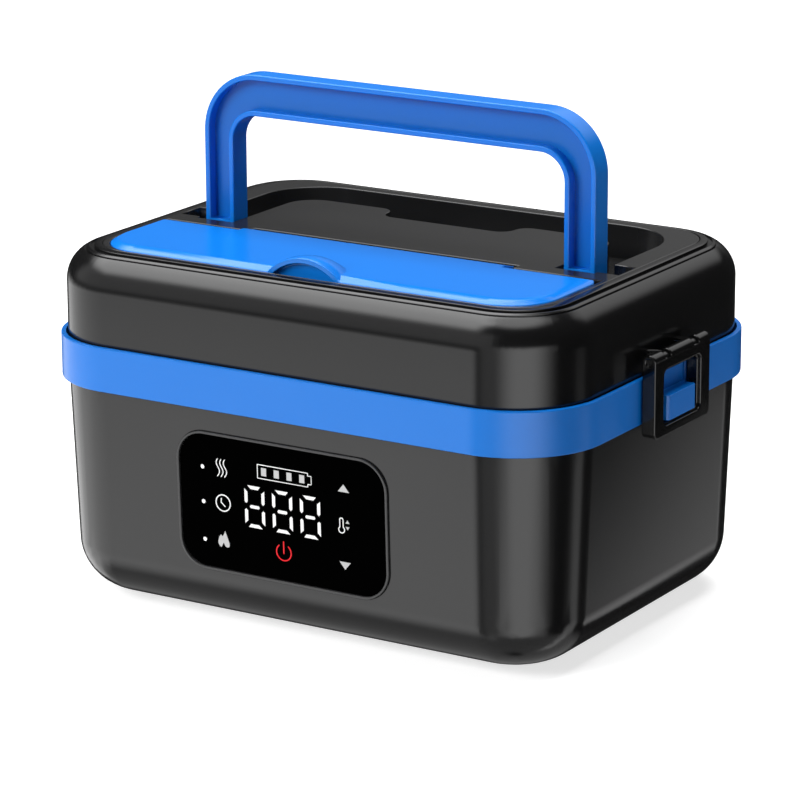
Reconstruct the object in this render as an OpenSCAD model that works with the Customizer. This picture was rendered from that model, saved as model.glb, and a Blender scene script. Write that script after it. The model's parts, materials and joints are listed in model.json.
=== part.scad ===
// Electric lunch box: a heated base with a control panel, a lift-off lid held by two
// side latches, a fold-down carry handle, and a hinged flap over a compartment in the lid.
// Millimetres. +Z is up, the control panel faces -Y, and the feet stand on z = 0.

/* [Overall] */
// Width over the collar
case_w = 242; // [228:1:262]
// Depth over the collar
case_d = 181; // [170:1:196]
// Corner radius of the collar, seen from above
corner_r = 37; // [34:0.5:41]
// Height from the table to the underside of the collar
base_h = 91.5; // [88:0.5:100]
// Height of the collar
band_h = 18.1; // [17:0.1:20]
// Height of the lid above the collar
lid_rise = 35.5; // [34.4:0.1:38]

/* [Base] */
// Wall thickness of the base
base_wall = 2.5; // [2.2:0.1:2.8]
// How far the base stands in from the collar
base_inset = 3; // [2.7:0.1:3.6]
// Draft of the base's outer walls, in degrees
base_draft = 2.06; // [1.5:0.1:2.4]
// Radius of the base's bottom edge
base_edge_r = 22; // [19:0.5:23.5]
// Height of the feet below the base
foot_h = 2; // [1:0.1:3]
// Radius of a foot
foot_r = 7; // [6:0.5:8.5]

/* [Collar and catches] */
// Thickness of the collar's upright lip
lip_t = 2; // [1.6:0.1:2.4]
// Gap between the lid and the collar's lip
lid_gap = 0.8; // [0.5:0.1:1]
// Width of a catch block
catch_w = 22.6; // [18:0.2:24]
// Height of a catch block
catch_h = 9.9; // [8:0.1:12]
// How far a catch block stands out of the collar
catch_out = 6.4; // [5:0.1:6.6]

/* [Control panel] */
// Width of the glass
glass_w = 95; // [88:0.2:100]
// Height of the glass
glass_h = 54.9; // [52:0.1:57]
// Corner radius of the glass
glass_r = 11.5; // [8:0.5:14]
// Thickness of the glass
glass_t = 1.6; // [1.2:0.1:1.7]
// Height of the glass's centre above the table
glass_z = 53.3; // [52.8:0.1:55]
// Distance of the glass's centre from the middle, to the right
glass_x = -1.4; // [-8:0.1:8]
// Width of the bezel round the glass
bezel_w = 1.2; // [0.8:0.1:2]
// How far the bezel stands out of the glass
bezel_proud = 1; // [0.4:0.1:1.4]

/* [Latches] */
// Width of a latch frame
latch_w = 45; // [42:0.5:48]
// Gap between a latch and the collar
latch_gap = 0.5; // [0.4:0.1:0.9]
// Thickness of a latch frame
latch_t = 6; // [5.4:0.1:6.4]
// Height of the latch pivot above the collar
pivot_rise = 7; // [6.2:0.1:8]
// Radius of the latch pins
latch_pin_r = 1.25; // [1:0.05:1.5]
// Height of a latch frame's lower bar
bar_h = 4.8; // [4:0.1:6]
// Height of a latch frame's upper bar
top_bar_h = 8; // [7:0.1:8.6]
// Width of a latch frame's side bars
side_bar_w = 8.5; // [7:0.1:9]

/* [Lid] */
// Wall thickness of the lid
lid_wall = 2.2; // [1.8:0.1:2.5]
// Radius of the lid's top edge
lid_edge_r = 14.4; // [13:0.2:15.4]
// Thickness of the deck set into the lid
deck_t = 4; // [3.6:0.1:4.4]
// Depth of the compartment under the flap
bay_depth = 20; // [14:0.5:21]
// Depth of the channel that the folded handle lies in
channel_depth = 14; // [13.2:0.2:16]
// Wall thickness of the deck's compartment and channel
tub_wall = 1.6; // [1.2:0.1:1.8]

/* [Handle] */
// Width over the handle's legs
handle_w = 182.2; // [176:0.2:184]
// Height of the handle above the lid
handle_rise = 61; // [56:0.1:61.6]
// Thickness of the handle, front to back
handle_t = 10.3; // [9:0.1:10.6]
// Width of the handle's legs
leg_w = 14; // [12:0.1:15]
// Height of the handle's bar
grip_h = 17; // [14:0.1:18]
// Outer corner radius of the handle
handle_r = 25; // [20:0.5:28]
// Inner corner radius of the handle
handle_in_r = 11; // [8:0.5:13]
// Thickness of the handle's flanges
flange_t = 2.3; // [1.8:0.1:3]
// Thickness of the handle's web
web_t = 2; // [1.6:0.1:4]
// Depth of the handle's pivots below the lid's top
pivot_drop = 4.8; // [4.6:0.1:5.5]
// Radius of the handle's pins
handle_pin_r = 2; // [1.6:0.1:2.4]

/* [Flap] */
// Width of the flap
flap_w = 201.6; // [196:0.2:203]
// Depth of the flap at its sides
flap_d = 53; // [50:0.5:54]
// Width of the tongue at the flap's back
tongue_w = 122; // [90:1:140]
// How far the tongue reaches past the flap's sides
tongue_d = 3.5; // [2:0.1:3.8]
// Distance of the flap's pivots from its back edge at the sides
flap_tail = 5.5; // [5:0.1:6]
// Thickness of the flap
flap_t = 3.6; // [3:0.1:4]
// How far the flap stands above the deck
flap_proud = 2; // [1.6:0.1:2.2]
// Corner radius of the flap's front corners
flap_r = 20; // [10:0.5:22]
// Width of the slope along the flap's front and sides
flap_slope_w = 3.6; // [2:0.1:5]
// Length of the slope at the flap's back
flap_back_slope = 7.3; // [4:0.1:8]
// Radius of the dome over the finger pull
pull_r = 23; // [20:0.5:26]
// Height of the finger pull above the flap
pull_rise = 5.5; // [4:0.1:7]
// Wall thickness of the finger pull
pull_wall = 2.1; // [1.5:0.1:2.6]
// How far the finger pull's inner wall reaches below the flap
pull_skirt = 4.5; // [2:0.1:6]
// Radius of the flap's hinge pins
flap_pin_r = 1; // [0.8:0.05:1.1]
// How far a flap pin reaches past the flap's side
flap_pin_grip = 1.85; // [1.2:0.05:1.9]

/* [Inside] */
// Height of the heated well's floor above the table
well_z = 38; // [36.5:0.5:40]
// Corner radius of the heated well at its mouth
well_r = 20.5; // [19:0.5:21]
// Draft of the well and of the food container, in degrees
well_draft = 2.5; // [1.5:0.1:3]
// Sheet thickness of the well
well_t = 1.2; // [1:0.1:1.4]
// Sheet thickness of the food container
steel_t = 0.9; // [0.7:0.1:1.1]
// Radius of a battery cell
cell_r = 9.2; // [8.8:0.1:9.3]
// Length of a battery cell
cell_l = 65; // [60:0.5:66]
// Thickness of a circuit board
board_t = 1.6; // [1:0.1:2]

/* [Hidden] */
$fn = 48;

// Gaps between pieces
run_gap = 0.05;   // round a pin that turns
seat_gap = 0.15;  // round a piece that is set in another
free_gap = 0.3;   // between bodies that part
eps = 0.01;
far = 300;

// The core is the rectangle between the centres of the case's corners. Every wall is a
// profile carried round it, so a profile's x is the distance out of the core.
core_x = case_w / 2 - corner_r;
core_y = case_d / 2 - corner_r;

// Base
base_z = foot_h;
base_r = corner_r - base_inset;
rim_z = base_h + 8.5;
slope = tan(base_draft);
edge_cz = base_z + base_edge_r;
edge_cr = base_r - slope * (base_h - edge_cz) - base_edge_r / cos(base_draft);
ledge_h = 2;
ledge_z = rim_z - well_t - ledge_h;
ledge_w = 2.3;
floor_z = base_z + base_wall;

// Collar
band_top = base_h + band_h;
lip_r = corner_r - lip_t;
clamp_t = 1.4;
clamp_r = base_r - base_wall - 1.3;
band_chamfer = 0.3;
catch_plate_w = catch_w + 1.6;
collar_cut_w = catch_plate_w + 4;

// Lid
lid_r = lip_r - lid_gap;
lid_bottom = rim_z + clamp_t + free_gap;
lid_top = band_top + lid_rise;
lid_cr = lid_r - lid_edge_r;
lid_cz = lid_top - lid_edge_r;
deck_r = lid_cr - seat_gap;
deck_z = lid_top - deck_t;
shelf_t = 2.2;
shelf_w = 2.3;

// Latches: the pin's place and the frame's heights
latch_back = case_w / 2 + latch_gap;
pin_x = latch_back + latch_t / 2;
pin_z = band_top + pivot_rise;
knuckle_r = latch_t / 2;
bar_top = base_h - 0.6;
window_top = pin_z + knuckle_r - top_bar_h;
ear_in = 9.5;
ear_w = 4;
ear_r = 2;
ear_gap = 0.3;

// Handle
handle_z = lid_top - pivot_drop;
handle_top = lid_top + handle_rise;
leg_in = handle_w / 2 - leg_w;
channel_out = handle_w / 2 + 1.7;
channel_in = leg_in - 1.6;
channel_back = handle_top - handle_z + 2.2;
channel_front = -handle_t / 2 - 3.85;
channel_r = handle_r + 1.7;
channel_floor = lid_top - channel_depth;
platform_back = channel_back - grip_h - 6.6;
platform_r = handle_in_r + 2;
notch_w = 60;
notch_d = 12.4;
notch_r = notch_d / 2;

// Pockets beside the handle's pivots
pocket_x = core_x + deck_r - 1.4;
pocket_y0 = -6.6;
pocket_y1 = 7;
pocket_z = handle_z - 5.5;
pocket_wall = 1.2;

// Flap
flap_front = -(core_y + deck_r - 1.3);
flap_back = flap_front + flap_d;
flap_top = lid_top + flap_proud;
flap_z = flap_top - flap_t;
flap_back_r = 6;
flap_pin_y = flap_back - flap_tail;
flap_pin_z = flap_z;
flap_lug_r = flap_pin_r + 1.2;
flap_pin_end = flap_w / 2 + flap_pin_grip;
bay_front = flap_front + 6;
bay_x = flap_w / 2 - 12.8;
bay_floor = lid_top - bay_depth;

// The trough that the flap's tail swings down into, at the sides and behind the tongue
tail_sweep = sqrt(pow(flap_tail, 2) + pow(flap_t, 2)) + 0.4;
tongue_sweep = sqrt(pow(flap_tail + tongue_d, 2) + pow(flap_t, 2)) + 0.4;
trough_front = flap_pin_y - 4.5;
trough_floor = flap_pin_z - tongue_sweep;
tongue_clear = 1.5;

// Inside of the base
well_slope = tan(well_draft);
flange_z = ledge_z + ledge_h;
flange_top = flange_z + well_t;
flange_r = base_r - base_wall - 0.3;
pan_gap = 0.6;
pan_r = well_r - pan_gap;
pan_floor = well_z + 1.4;
pan_rim_z = flange_top + 0.2;
pan_rim_r = pan_r + 3.8;
pan_rim_top = pan_rim_z + steel_t;
bead_r = 0.8;
cover_z = pan_rim_z + 2 * bead_r + 0.1;

// Pieces of the power pack
cell_gap = 1;
cell_end = 0.8;
cell_rows = 3;
hatch_frame_z = floor_z + 1.5;
holder_t = 0.8;
cell_z = hatch_frame_z + holder_t + 0.1 + cell_r;
cell_pitch = 2 * cell_r + cell_gap;
pack_x = -22;
hatch_x = 2 * cell_l + 10;
hatch_y = cell_rows * cell_pitch + 8;
hatch_t = base_wall - 1;
heater_h = 4;
heater_z = well_z - well_t - heater_h / 2;
heater_plate_t = 1;
heater_plate_z = heater_z - heater_h / 2 - heater_plate_t;

// Colours
charcoal = [0.17, 0.17, 0.18];
deck_grey = [0.2, 0.2, 0.21];
blue = [0.13, 0.42, 0.88];
steel = [0.78, 0.79, 0.8];
board_green = [0.08, 0.34, 0.2];
seal_grey = [0.7, 0.7, 0.72];

// Carries a profile round the core. The profile's x is the distance out of the core
// and its y is the height.
module around(ax = core_x, ay = core_y) {
    for (corner = [[1, 1, 0], [-1, 1, 90], [-1, -1, 180], [1, -1, 270]])
        translate([corner[0] * ax, corner[1] * ay, 0])
            rotate(corner[2])
                rotate_extrude(angle = 90)
                    children();
    for (turn = [0, 180])
        rotate(turn)
            translate([ax, 0, 0])
                rotate([90, 0, 0])
                    linear_extrude(height = 2 * ay, center = true)
                        children();
    for (turn = [90, 270])
        rotate(turn)
            translate([ay, 0, 0])
                rotate([90, 0, 0])
                    linear_extrude(height = 2 * ax, center = true)
                        children();
}

// A flat plate with round corners, r out of the core, from height z up by h
module slab(r, z, h, ax = core_x, ay = core_y) {
    around(ax, ay)
        translate([0, z])
            square([r, h]);
    translate([-ax, -ay, z])
        cube([2 * ax, 2 * ay, h]);
}

// A rectangle with round corners, centred
module round_rect(w, h, r) {
    square([w - 2 * r, h], center = true);
    square([w, h - 2 * r], center = true);
    for (x = [-1, 1], y = [-1, 1])
        translate([x * (w / 2 - r), y * (h / 2 - r)])
            circle(r);
}

// A box from one corner to another
module block(low, high) {
    translate(low)
        cube(high - low);
}

// A cylinder along X from x0 to x1
module rod_x(x0, x1, y, z, r) {
    translate([x0, y, z])
        rotate([0, 90, 0])
            cylinder(h = x1 - x0, r = r);
}

// A cylinder along Y from y0 to y1
module rod_y(x, y0, y1, z, r) {
    translate([x, y1, z])
        rotate([90, 0, 0])
            cylinder(h = y1 - y0, r = r);
}

// Puts a piece of the right-hand side on either side
module side(s) {
    if (s > 0)
        children();
    else
        mirror([1, 0, 0])
            children();
}

// ---- Base ----

// The base's section, grown inwards by t
module base_area(t) {
    top = rim_z + (t > 0 ? 1 : 0);
    // where the bottom's round meets the leaning wall
    tx = edge_cr + (base_edge_r - t) * cos(base_draft);
    tz = edge_cz - (base_edge_r - t) * sin(base_draft);
    intersection() {
        translate([edge_cr, edge_cz])
            circle(base_edge_r - t, $fn = 96);
        square([far, tz]);
    }
    polygon([
        [0, tz], [tx, tz],
        [base_r - t / cos(base_draft), base_h],
        [base_r - t / cos(base_draft), top],
        [0, top]
    ]);
    translate([0, base_z + t])
        square([max(edge_cr, eps), tz - base_z - t]);
}

// Carries pieces from the glass's own plane, with z out of the panel, to the base's
// leaning front wall
module on_panel() {
    wall_y = core_y + base_r - slope * (base_h - glass_z);
    translate([glass_x, -wall_y, glass_z])
        rotate([90 + base_draft, 0, 0])
            children();
}

module base_shell() {
    color(charcoal)
        difference() {
            union() {
                around()
                    difference() {
                        base_area(0);
                        base_area(base_wall);
                    }
                translate([-core_x, -core_y, base_z])
                    cube([2 * core_x, 2 * core_y, base_wall]);
                // the ledge that the liner's flange lies on
                around()
                    translate([base_r - base_wall - ledge_w, ledge_z])
                        square([ledge_w + base_wall / 2, ledge_h]);
                // the frame round the battery hatch
                translate([pack_x, 0, floor_z - eps])
                    linear_extrude(height = hatch_frame_z - floor_z + eps)
                        round_rect(hatch_x + 4, hatch_y + 4, 6);
                // the flat pad behind the power socket
                block([socket_x - 8, socket_back, socket_z - 8],
                      [socket_x + 8, socket_wall_y - 1.2, socket_z + 8]);
                // stand-offs of the main board
                for (x = [board_x0 + 4, board_x1 - 4], y = [-board_y + 4, board_y - 4])
                    translate([x, y, base_z + base_wall / 2])
                        cylinder(h = board_z - base_z - base_wall / 2, r = 2.6);
            }
            on_panel() {
                translate([0, 0, -glass_t])
                    linear_extrude(height = 5)
                        round_rect(glass_w + 2 * bezel_w, glass_h + 2 * bezel_w,
                                   glass_r + bezel_w);
                translate([0, 0, -8])
                    linear_extrude(height = 10)
                        round_rect(glass_w - 8, glass_h - 8, glass_r - 2);
            }
            // battery hatch: the seat and the opening above it
            translate([pack_x, 0, base_z - 1])
                linear_extrude(height = 1 + hatch_t)
                    round_rect(hatch_x, hatch_y, 5);
            translate([pack_x, 0, base_z])
                linear_extrude(height = far / 10)
                    round_rect(hatch_x - 12, hatch_y - 5, 3);
            for (x = [-1, 1], y = [-1, 1])
                translate([pack_x + x * (hatch_x / 2 - 3), y * (hatch_y / 2 - 10), 0])
                    cylinder(h = far / 10, r = 1.1);
            // seats of the feet
            foot_places()
                translate([0, 0, base_z - 1])
                    cylinder(h = 1 + foot_seat, r = foot_r);
            // hole of the power socket
            rod_y(socket_x, core_y, core_y + far / 4, socket_z, socket_hole_r);
        }
}

foot_seat = 1;
board_x0 = pack_x + cell_l + 14;
board_x1 = core_x + 12;
board_y = 40;
board_z = floor_z + 4;
socket_x = 60;
socket_z = 29;
socket_hole_r = 3.2;
socket_wall_y = core_y + base_r - slope * (base_h - socket_z);
socket_back = socket_wall_y - base_wall - 1.4;

module foot_places() {
    for (x = [-1, 1], y = [-1, 1])
        translate([x * (core_x + edge_cr - foot_r - 1), y * (core_y - foot_r + 6), 0])
            children();
}

module feet() {
    color([0.1, 0.1, 0.1])
        foot_places() {
            cylinder(h = 0.6, r1 = foot_r - 0.8, r2 = foot_r - 0.2);
            translate([0, 0, 0.6])
                cylinder(h = base_z + foot_seat - 0.6, r = foot_r - 0.2);
        }
}

// ---- Collar and catches ----

module collar() {
    c = band_chamfer;
    color(blue)
        difference() {
            around()
                polygon([
                    [base_r, base_h], [corner_r - c, base_h], [corner_r, base_h + c],
                    [corner_r, band_top - c], [corner_r - c, band_top],
                    [lip_r, band_top], [lip_r, rim_z + clamp_t],
                    [clamp_r, rim_z + clamp_t], [clamp_r, rim_z], [base_r, rim_z]
                ]);
            for (s = [-1, 1])
                side(s)
                    block([case_w / 2 - lip_t, -collar_cut_w / 2, base_h - 1],
                          [case_w / 2 + 1, collar_cut_w / 2, band_top + 1]);
        }
}

module catch(s) {
    x0 = case_w / 2 - lip_t;
    color(blue)
        side(s) {
            block([x0, -catch_plate_w / 2, base_h], [case_w / 2, catch_plate_w / 2, band_top - 0.4]);
            difference() {
                block([case_w / 2 - eps, -catch_w / 2, base_h],
                      [case_w / 2 + catch_out, catch_w / 2, base_h + catch_h]);
                // softened front edges
                for (y = [-1, 1])
                    translate([case_w / 2 + catch_out, y * catch_w / 2, 0])
                        rotate(45)
                            cube([1.4, 1.4, far], center = true);
            }
        }
}

// ---- Control panel ----

module display_bezel() {
    color([0.32, 0.33, 0.35])
        on_panel()
            translate([0, 0, -glass_t])
                linear_extrude(height = glass_t + bezel_proud)
                    difference() {
                        round_rect(glass_w + 2 * bezel_w - 0.1, glass_h + 2 * bezel_w - 0.1,
                                   glass_r + bezel_w - 0.05);
                        round_rect(glass_w + 0.2, glass_h + 0.2, glass_r + 0.1);
                    }
}

module display_glass() {
    color([0.03, 0.03, 0.035])
        on_panel()
            translate([0, 0, -glass_t])
                linear_extrude(height = glass_t)
                    round_rect(glass_w, glass_h, glass_r);
}

module display_board() {
    color(board_green)
        on_panel()
            translate([0, 0, -glass_t - board_t])
                linear_extrude(height = board_t)
                    round_rect(glass_w - 10, glass_h - 10, glass_r - 3);
}

digit_w = 12.4;
digit_h = 20;
digit_pitch = digit_w + 0.6;
digit_t = 2.2;

module digit_module() {
    color([0.12, 0.12, 0.13])
        on_panel()
            translate([0, 0, -glass_t - board_t - digit_t])
                linear_extrude(height = digit_t)
                    for (x = [-1, 0, 1])
                        translate([x * digit_pitch, -2])
                            square([digit_w, digit_h], center = true);
}

// ---- Heated well ----

// The section of a drafted well whose mouth is r out of the core at height z1
module well_area(r, z0, z1, z_top) {
    floor_r = 6;
    low_r = r - well_slope * (z1 - z0);
    intersection() {
        translate([low_r - floor_r, z0 + floor_r])
            circle(floor_r);
        square([far, far]);
    }
    polygon([
        [0, z0 + floor_r], [low_r, z0 + floor_r], [r, z1], [r, z_top], [0, z_top]
    ]);
    translate([0, z0])
        square([low_r - floor_r, floor_r + eps]);
}

module well_shell(r, z0, z1, t) {
    around()
        difference() {
            well_area(r + t, z0 - t, z1, z1);
            well_area(r, z0, z1, z1 + 1);
        }
    translate([-core_x, -core_y, z0 - t])
        cube([2 * core_x, 2 * core_y, t]);
}

module inner_liner() {
    color([0.72, 0.73, 0.75]) {
        well_shell(well_r, well_z, flange_top, well_t);
        around()
            translate([well_r, flange_z])
                square([flange_r - well_r, well_t]);
    }
}

module heater_element() {
    color([0.75, 0.42, 0.25])
        difference() {
            union() {
                around(core_x - 30, core_y - 22)
                    translate([18, heater_z])
                        intersection() {
                            circle(heater_h * 0.6);
                            square([far, heater_h], center = true);
                        }
                for (x = [-9, 9])
                    rod_y(x, core_y - 4, core_y + 6, heater_z, heater_h * 0.4);
            }
            // the gap between the element's two ends
            block([-7, core_y - 8, heater_z - 5], [7, core_y + 2, heater_z + 5]);
        }
}

module heater_plate() {
    color([0.66, 0.67, 0.69])
        difference() {
            slab(4, heater_plate_z, heater_plate_t);
            for (x = [-1, 0, 1], y = [-1, 1])
                translate([x * core_x * 0.7, y * core_y * 0.75, heater_plate_z - 1])
                    cylinder(h = 3, r = 3);
        }
}

module thermistor() {
    color([0.15, 0.15, 0.16]) {
        translate([0, 0, heater_z - heater_h / 2])
            linear_extrude(height = heater_h)
                round_rect(14, 6, 2);
        for (y = [-1, 1])
            rod_x(-18, -6, y, heater_z, 0.5);
    }
}

module insulation_pad() {
    color([0.86, 0.84, 0.78])
        slab(3, heater_plate_z - 3, 3);
}

// ---- Power pack ----

module battery_cells() {
    color([0.2, 0.5, 0.35])
        for (c = [-1, 1], row = [0:cell_rows - 1])
            let (y = (row - (cell_rows - 1) / 2) * cell_pitch)
                let (x0 = pack_x + (c < 0 ? -cell_l - cell_end : cell_end)) {
                    rod_x(x0, x0 + cell_l - 1, y, cell_z, cell_r);
                    rod_x(x0 + cell_l - 1, x0 + cell_l, y, cell_z, 2.8);
                }
}

module battery_holder() {
    x = cell_l + cell_end;
    y = cell_rows * cell_pitch / 2 + 0.6;
    z = hatch_frame_z;
    color([0.14, 0.14, 0.15])
        translate([pack_x, 0, 0])
            difference() {
                block([-x - 1.8, -y - 1.8, z], [x + 1.8, y + 1.8, cell_z + 2]);
                block([-x, -y, z + holder_t], [x, y, far]);
                for (row = [0:cell_rows - 2])
                    translate([0, (row - (cell_rows - 2) / 2) * cell_pitch, cell_z])
                        cube([4 * x, 7, 9], center = true);
            }
}

module battery_cover() {
    color(charcoal)
        difference() {
            translate([pack_x, 0, base_z])
                linear_extrude(height = hatch_t)
                    round_rect(hatch_x - 0.4, hatch_y - 0.4, 4.8);
            for (x = [-1, 1], y = [-1, 1])
                translate([pack_x + x * (hatch_x / 2 - 3), y * (hatch_y / 2 - 10), 0])
                    cylinder(h = 10, r = 1.1);
            // grip grooves
            for (i = [-2:2])
                block([pack_x + hatch_x / 2 - 22 + 2.4 * i, -9, base_z - 1],
                      [pack_x + hatch_x / 2 - 21 + 2.4 * i, 9, base_z + 0.6]);
        }
}

module cover_screws() {
    color(steel)
        for (x = [-1, 1], y = [-1, 1])
            translate([pack_x + x * (hatch_x / 2 - 3), y * (hatch_y / 2 - 10), base_z - 1])
                difference() {
                    union() {
                        cylinder(h = 1, r = 2);
                        cylinder(h = 3.4, r = 1.1);
                    }
                    for (turn = [0, 90])
                        rotate(turn)
                            cube([2.6, 0.5, 1.2], center = true);
                }
}

module main_board() {
    color(board_green)
        difference() {
            block([board_x0, -board_y, board_z], [board_x1, board_y, board_z + board_t]);
            for (x = [board_x0 + 4, board_x1 - 4], y = [-board_y + 4, board_y - 4])
                translate([x, y, board_z - 1])
                    cylinder(h = 4, r = 1.2);
        }
}

module board_parts() {
    top = board_z + board_t;
    color([0.22, 0.22, 0.24]) {
        translate([board_x0 + 14, 14, top])
            cylinder(h = 9, r = 6);
        for (y = [-26, -14])
            translate([board_x0 + 12, y, top])
                cylinder(h = 12, r = 4);
        block([board_x0 + 24, -24, top], [board_x0 + 38, -10, top + 2]);
        block([board_x0 + 26, 6, top], [board_x0 + 36, 26, top + 6]);
    }
}

module power_socket() {
    color([0.1, 0.1, 0.11])
        difference() {
            union() {
                block([socket_x - 5, socket_back - 12, socket_z - 5.2],
                      [socket_x + 5, socket_back, socket_z + 5.2]);
                rod_y(socket_x, socket_back - eps, socket_back + 2, socket_z, socket_hole_r - 0.1);
            }
            rod_y(socket_x, socket_back - 9, socket_back + 4, socket_z, 2.75);
        }
    color(steel)
        rod_y(socket_x, socket_back - 10, socket_back - 1, socket_z, 1);
}

// A silicone plug that pulls out of the power socket
module socket_plug() {
    color([0.12, 0.12, 0.13])
        difference() {
            union() {
                rod_y(socket_x, socket_wall_y + 0.6, socket_wall_y + 2.2, socket_z, 6.5);
                rod_y(socket_x, socket_back - 4, socket_wall_y + 1, socket_z, 2.45);
                translate([socket_x, socket_wall_y + 2.2, socket_z])
                    block([-1.2, -eps, 2.5], [1.2, 1.4, 6.2]);
            }
            rod_y(socket_x, socket_back - 11, socket_back + 1, socket_z, 1.3);
        }
}

// ---- Food container ----

module food_container() {
    color(steel) {
        well_shell(pan_r - steel_t, pan_floor + steel_t, pan_rim_top, steel_t);
        around()
            translate([pan_r - steel_t / 2, pan_rim_z])
                square([pan_rim_r - pan_r + steel_t / 2, steel_t]);
        around()
            translate([pan_rim_r, pan_rim_z + bead_r])
                circle(bead_r, $fn = 24);
    }
}

module cover_gasket() {
    color(seal_grey)
        around()
            translate([pan_r - 3.4, pan_rim_top - 2])
                square([2.2, cover_z + 0.8 - pan_rim_top + 2]);
}

module container_cover() {
    z = cover_z;
    color([0.62, 0.64, 0.66])
        difference() {
            union() {
                slab(pan_rim_r + 0.4, z, 1.8);
                slab(pan_r - 5, z + 1.8 - eps, 1.2);
            }
            slab(pan_r - 8, z + 1.8, 2);
            around()
                translate([pan_r - 3.4, z - 1])
                    square([2.2, 1.8]);
            translate([0, 0, z - 1])
                cylinder(h = 10, r = 4);
        }
}

module steam_vent() {
    z = cover_z;
    color(seal_grey)
        difference() {
            union() {
                translate([0, 0, z - 1.2])
                    cylinder(h = 1.2, r = 5.4);
                translate([0, 0, z - eps])
                    cylinder(h = 1.8 + 2 * eps, r = 4);
                translate([0, 0, z + 1.8])
                    cylinder(h = 1.6, r1 = 6.4, r2 = 5);
            }
            translate([0, 0, z - 2])
                cylinder(h = 9, r = 1.2);
        }
}

// ---- Lid ----

// The lid's section, grown inwards by t
module lid_area(t) {
    low = lid_bottom - (t > 0 ? 1 : 0);
    intersection() {
        translate([lid_cr, lid_cz])
            circle(lid_edge_r - t, $fn = 96);
        square([far, far]);
    }
    translate([0, low])
        square([lid_r - t, lid_cz - low]);
    translate([0, lid_cz])
        square([lid_cr, lid_edge_r - t]);
}

module lid_posts(r, z, h) {
    for (x = [-1, 1], y = [-1, 1])
        translate([x * (core_x + lid_post_at), y * (core_y + lid_post_at), z])
            cylinder(h = h, r = r);
}

lid_post_at = 12;
inner_cover_z = pan_rim_top + 8;
inner_cover_t = 2;

module latch_ears() {
    for (s = [-1, 1], y = [-1, 1])
        side(s)
            translate([0, y * (ear_in + ear_w / 2), 0]) {
                rotate([90, 0, 0])
                    translate([pin_x, pin_z, -ear_w / 2])
                        cylinder(h = ear_w, r = ear_r);
                block([core_x + lid_r - 0.5, -ear_w / 2, pin_z - ear_r],
                      [pin_x, ear_w / 2, pin_z + ear_r]);
            }
}

module latch_pin_holes(r, half) {
    for (s = [-1, 1])
        side(s)
            rod_y(pin_x, -half, half, pin_z, r);
}

module lid_shell() {
    color(charcoal)
        difference() {
            union() {
                around()
                    difference() {
                        union() {
                            difference() {
                                lid_area(0);
                                lid_area(lid_wall);
                            }
                            translate([lid_cr - shelf_w, deck_z - shelf_t])
                                square([shelf_w + 9, shelf_t]);
                        }
                        translate([-1, deck_z])
                            square([lid_cr + 1, far]);
                        // two fine grooves round the top edge: place, width and depth
                        for (cut = [[3.1, 1.8, 0.6], [6.4, 0.6, 0.35]])
                            translate([lid_cr + cut[0],
                                       lid_cz - cut[2]
                                       + sqrt(pow(lid_edge_r, 2) - pow(cut[0] + cut[1], 2))])
                                square([cut[1], 3]);
                    }
                lid_posts(3.4, inner_cover_z + inner_cover_t, deck_z - shelf_t / 2 - inner_cover_z - inner_cover_t);
                latch_ears();
            }
            lid_posts(1.1, inner_cover_z, 14);
            latch_pin_holes(latch_pin_r, latch_w / 2 + 1);
            // the shelf clears the deck's pivot pockets and the ends of the flap's trough
            for (s = [-1, 1])
                side(s) {
                    block([core_x, pocket_y0 - 3, deck_z - far], [core_x + lid_cr, pocket_y1 + 3, far]);
                    block([core_x, trough_front - tub_wall - seat_gap, deck_z - far],
                          [core_x + lid_cr, flap_pin_y + tail_sweep + tub_wall + seat_gap, far]);
                }
        }
}

// A rectangle from y = 0 to y = h with its two back corners round
module back_rounded(half, h, r) {
    translate([-half, 0])
        square([2 * half, h - r]);
    translate([-half + r, 0])
        square([2 * (half - r), h]);
    for (x = [-1, 1])
        translate([x * (half - r), h - r])
            circle(r);
}

// The U-shaped channel round the platform, grown by g
module channel_shape(g) {
    difference() {
        translate([0, channel_front - g])
            back_rounded(channel_out + g, channel_back - channel_front + 2 * g, channel_r + g);
        translate([0, channel_front - 20])
            back_rounded(channel_in - g, platform_back - channel_front + 20 - g, platform_r - g);
    }
    // finger notch in the platform's back edge, with flared ends
    translate([0, platform_back]) {
        round_rect(notch_w + 2 * g, 2 * (notch_d + g), notch_r + g);
        difference() {
            translate([-notch_w / 2 - notch_r, -notch_r])
                square([notch_w + 2 * notch_r, notch_r + g]);
            for (x = [-1, 1])
                translate([x * (notch_w / 2 + notch_r), -notch_r])
                    circle(notch_r - g);
        }
    }
}

// The flap's outline, grown by g
module flap_shape(g = 0) {
    intersection() {
        translate([0, flap_back + g])
            mirror([0, 1])
                back_rounded(flap_w / 2 + g, flap_d + 2 * g, flap_r + g);
        translate([0, flap_back - flap_d / 2])
            round_rect(flap_w + 2 * g, flap_d + 2 * g, flap_back_r + g);
    }
    translate([-tongue_w / 2 - g, flap_back - flap_back_r])
        square([tongue_w + 2 * g, flap_back_r + tongue_d + g]);
}

// The compartment and the trough behind it, grown by g below the deck
module bay_boxes(g) {
    top = lid_top + (g > 0 ? -deck_t / 2 : 9);
    block([-bay_x - g, bay_front - g, bay_floor - g], [bay_x + g, flap_pin_y + g, top]);
    block([-flap_w / 2 - free_gap - g, trough_front - g, trough_floor - g],
          [flap_w / 2 + free_gap + g, flap_pin_y + tail_sweep + g, top]);
    block([-tongue_w / 2 - 0.5 - g, trough_front - g, trough_floor - g],
          [tongue_w / 2 + 0.5 + g, flap_pin_y + tongue_sweep + tongue_clear + g, top]);
}

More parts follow.
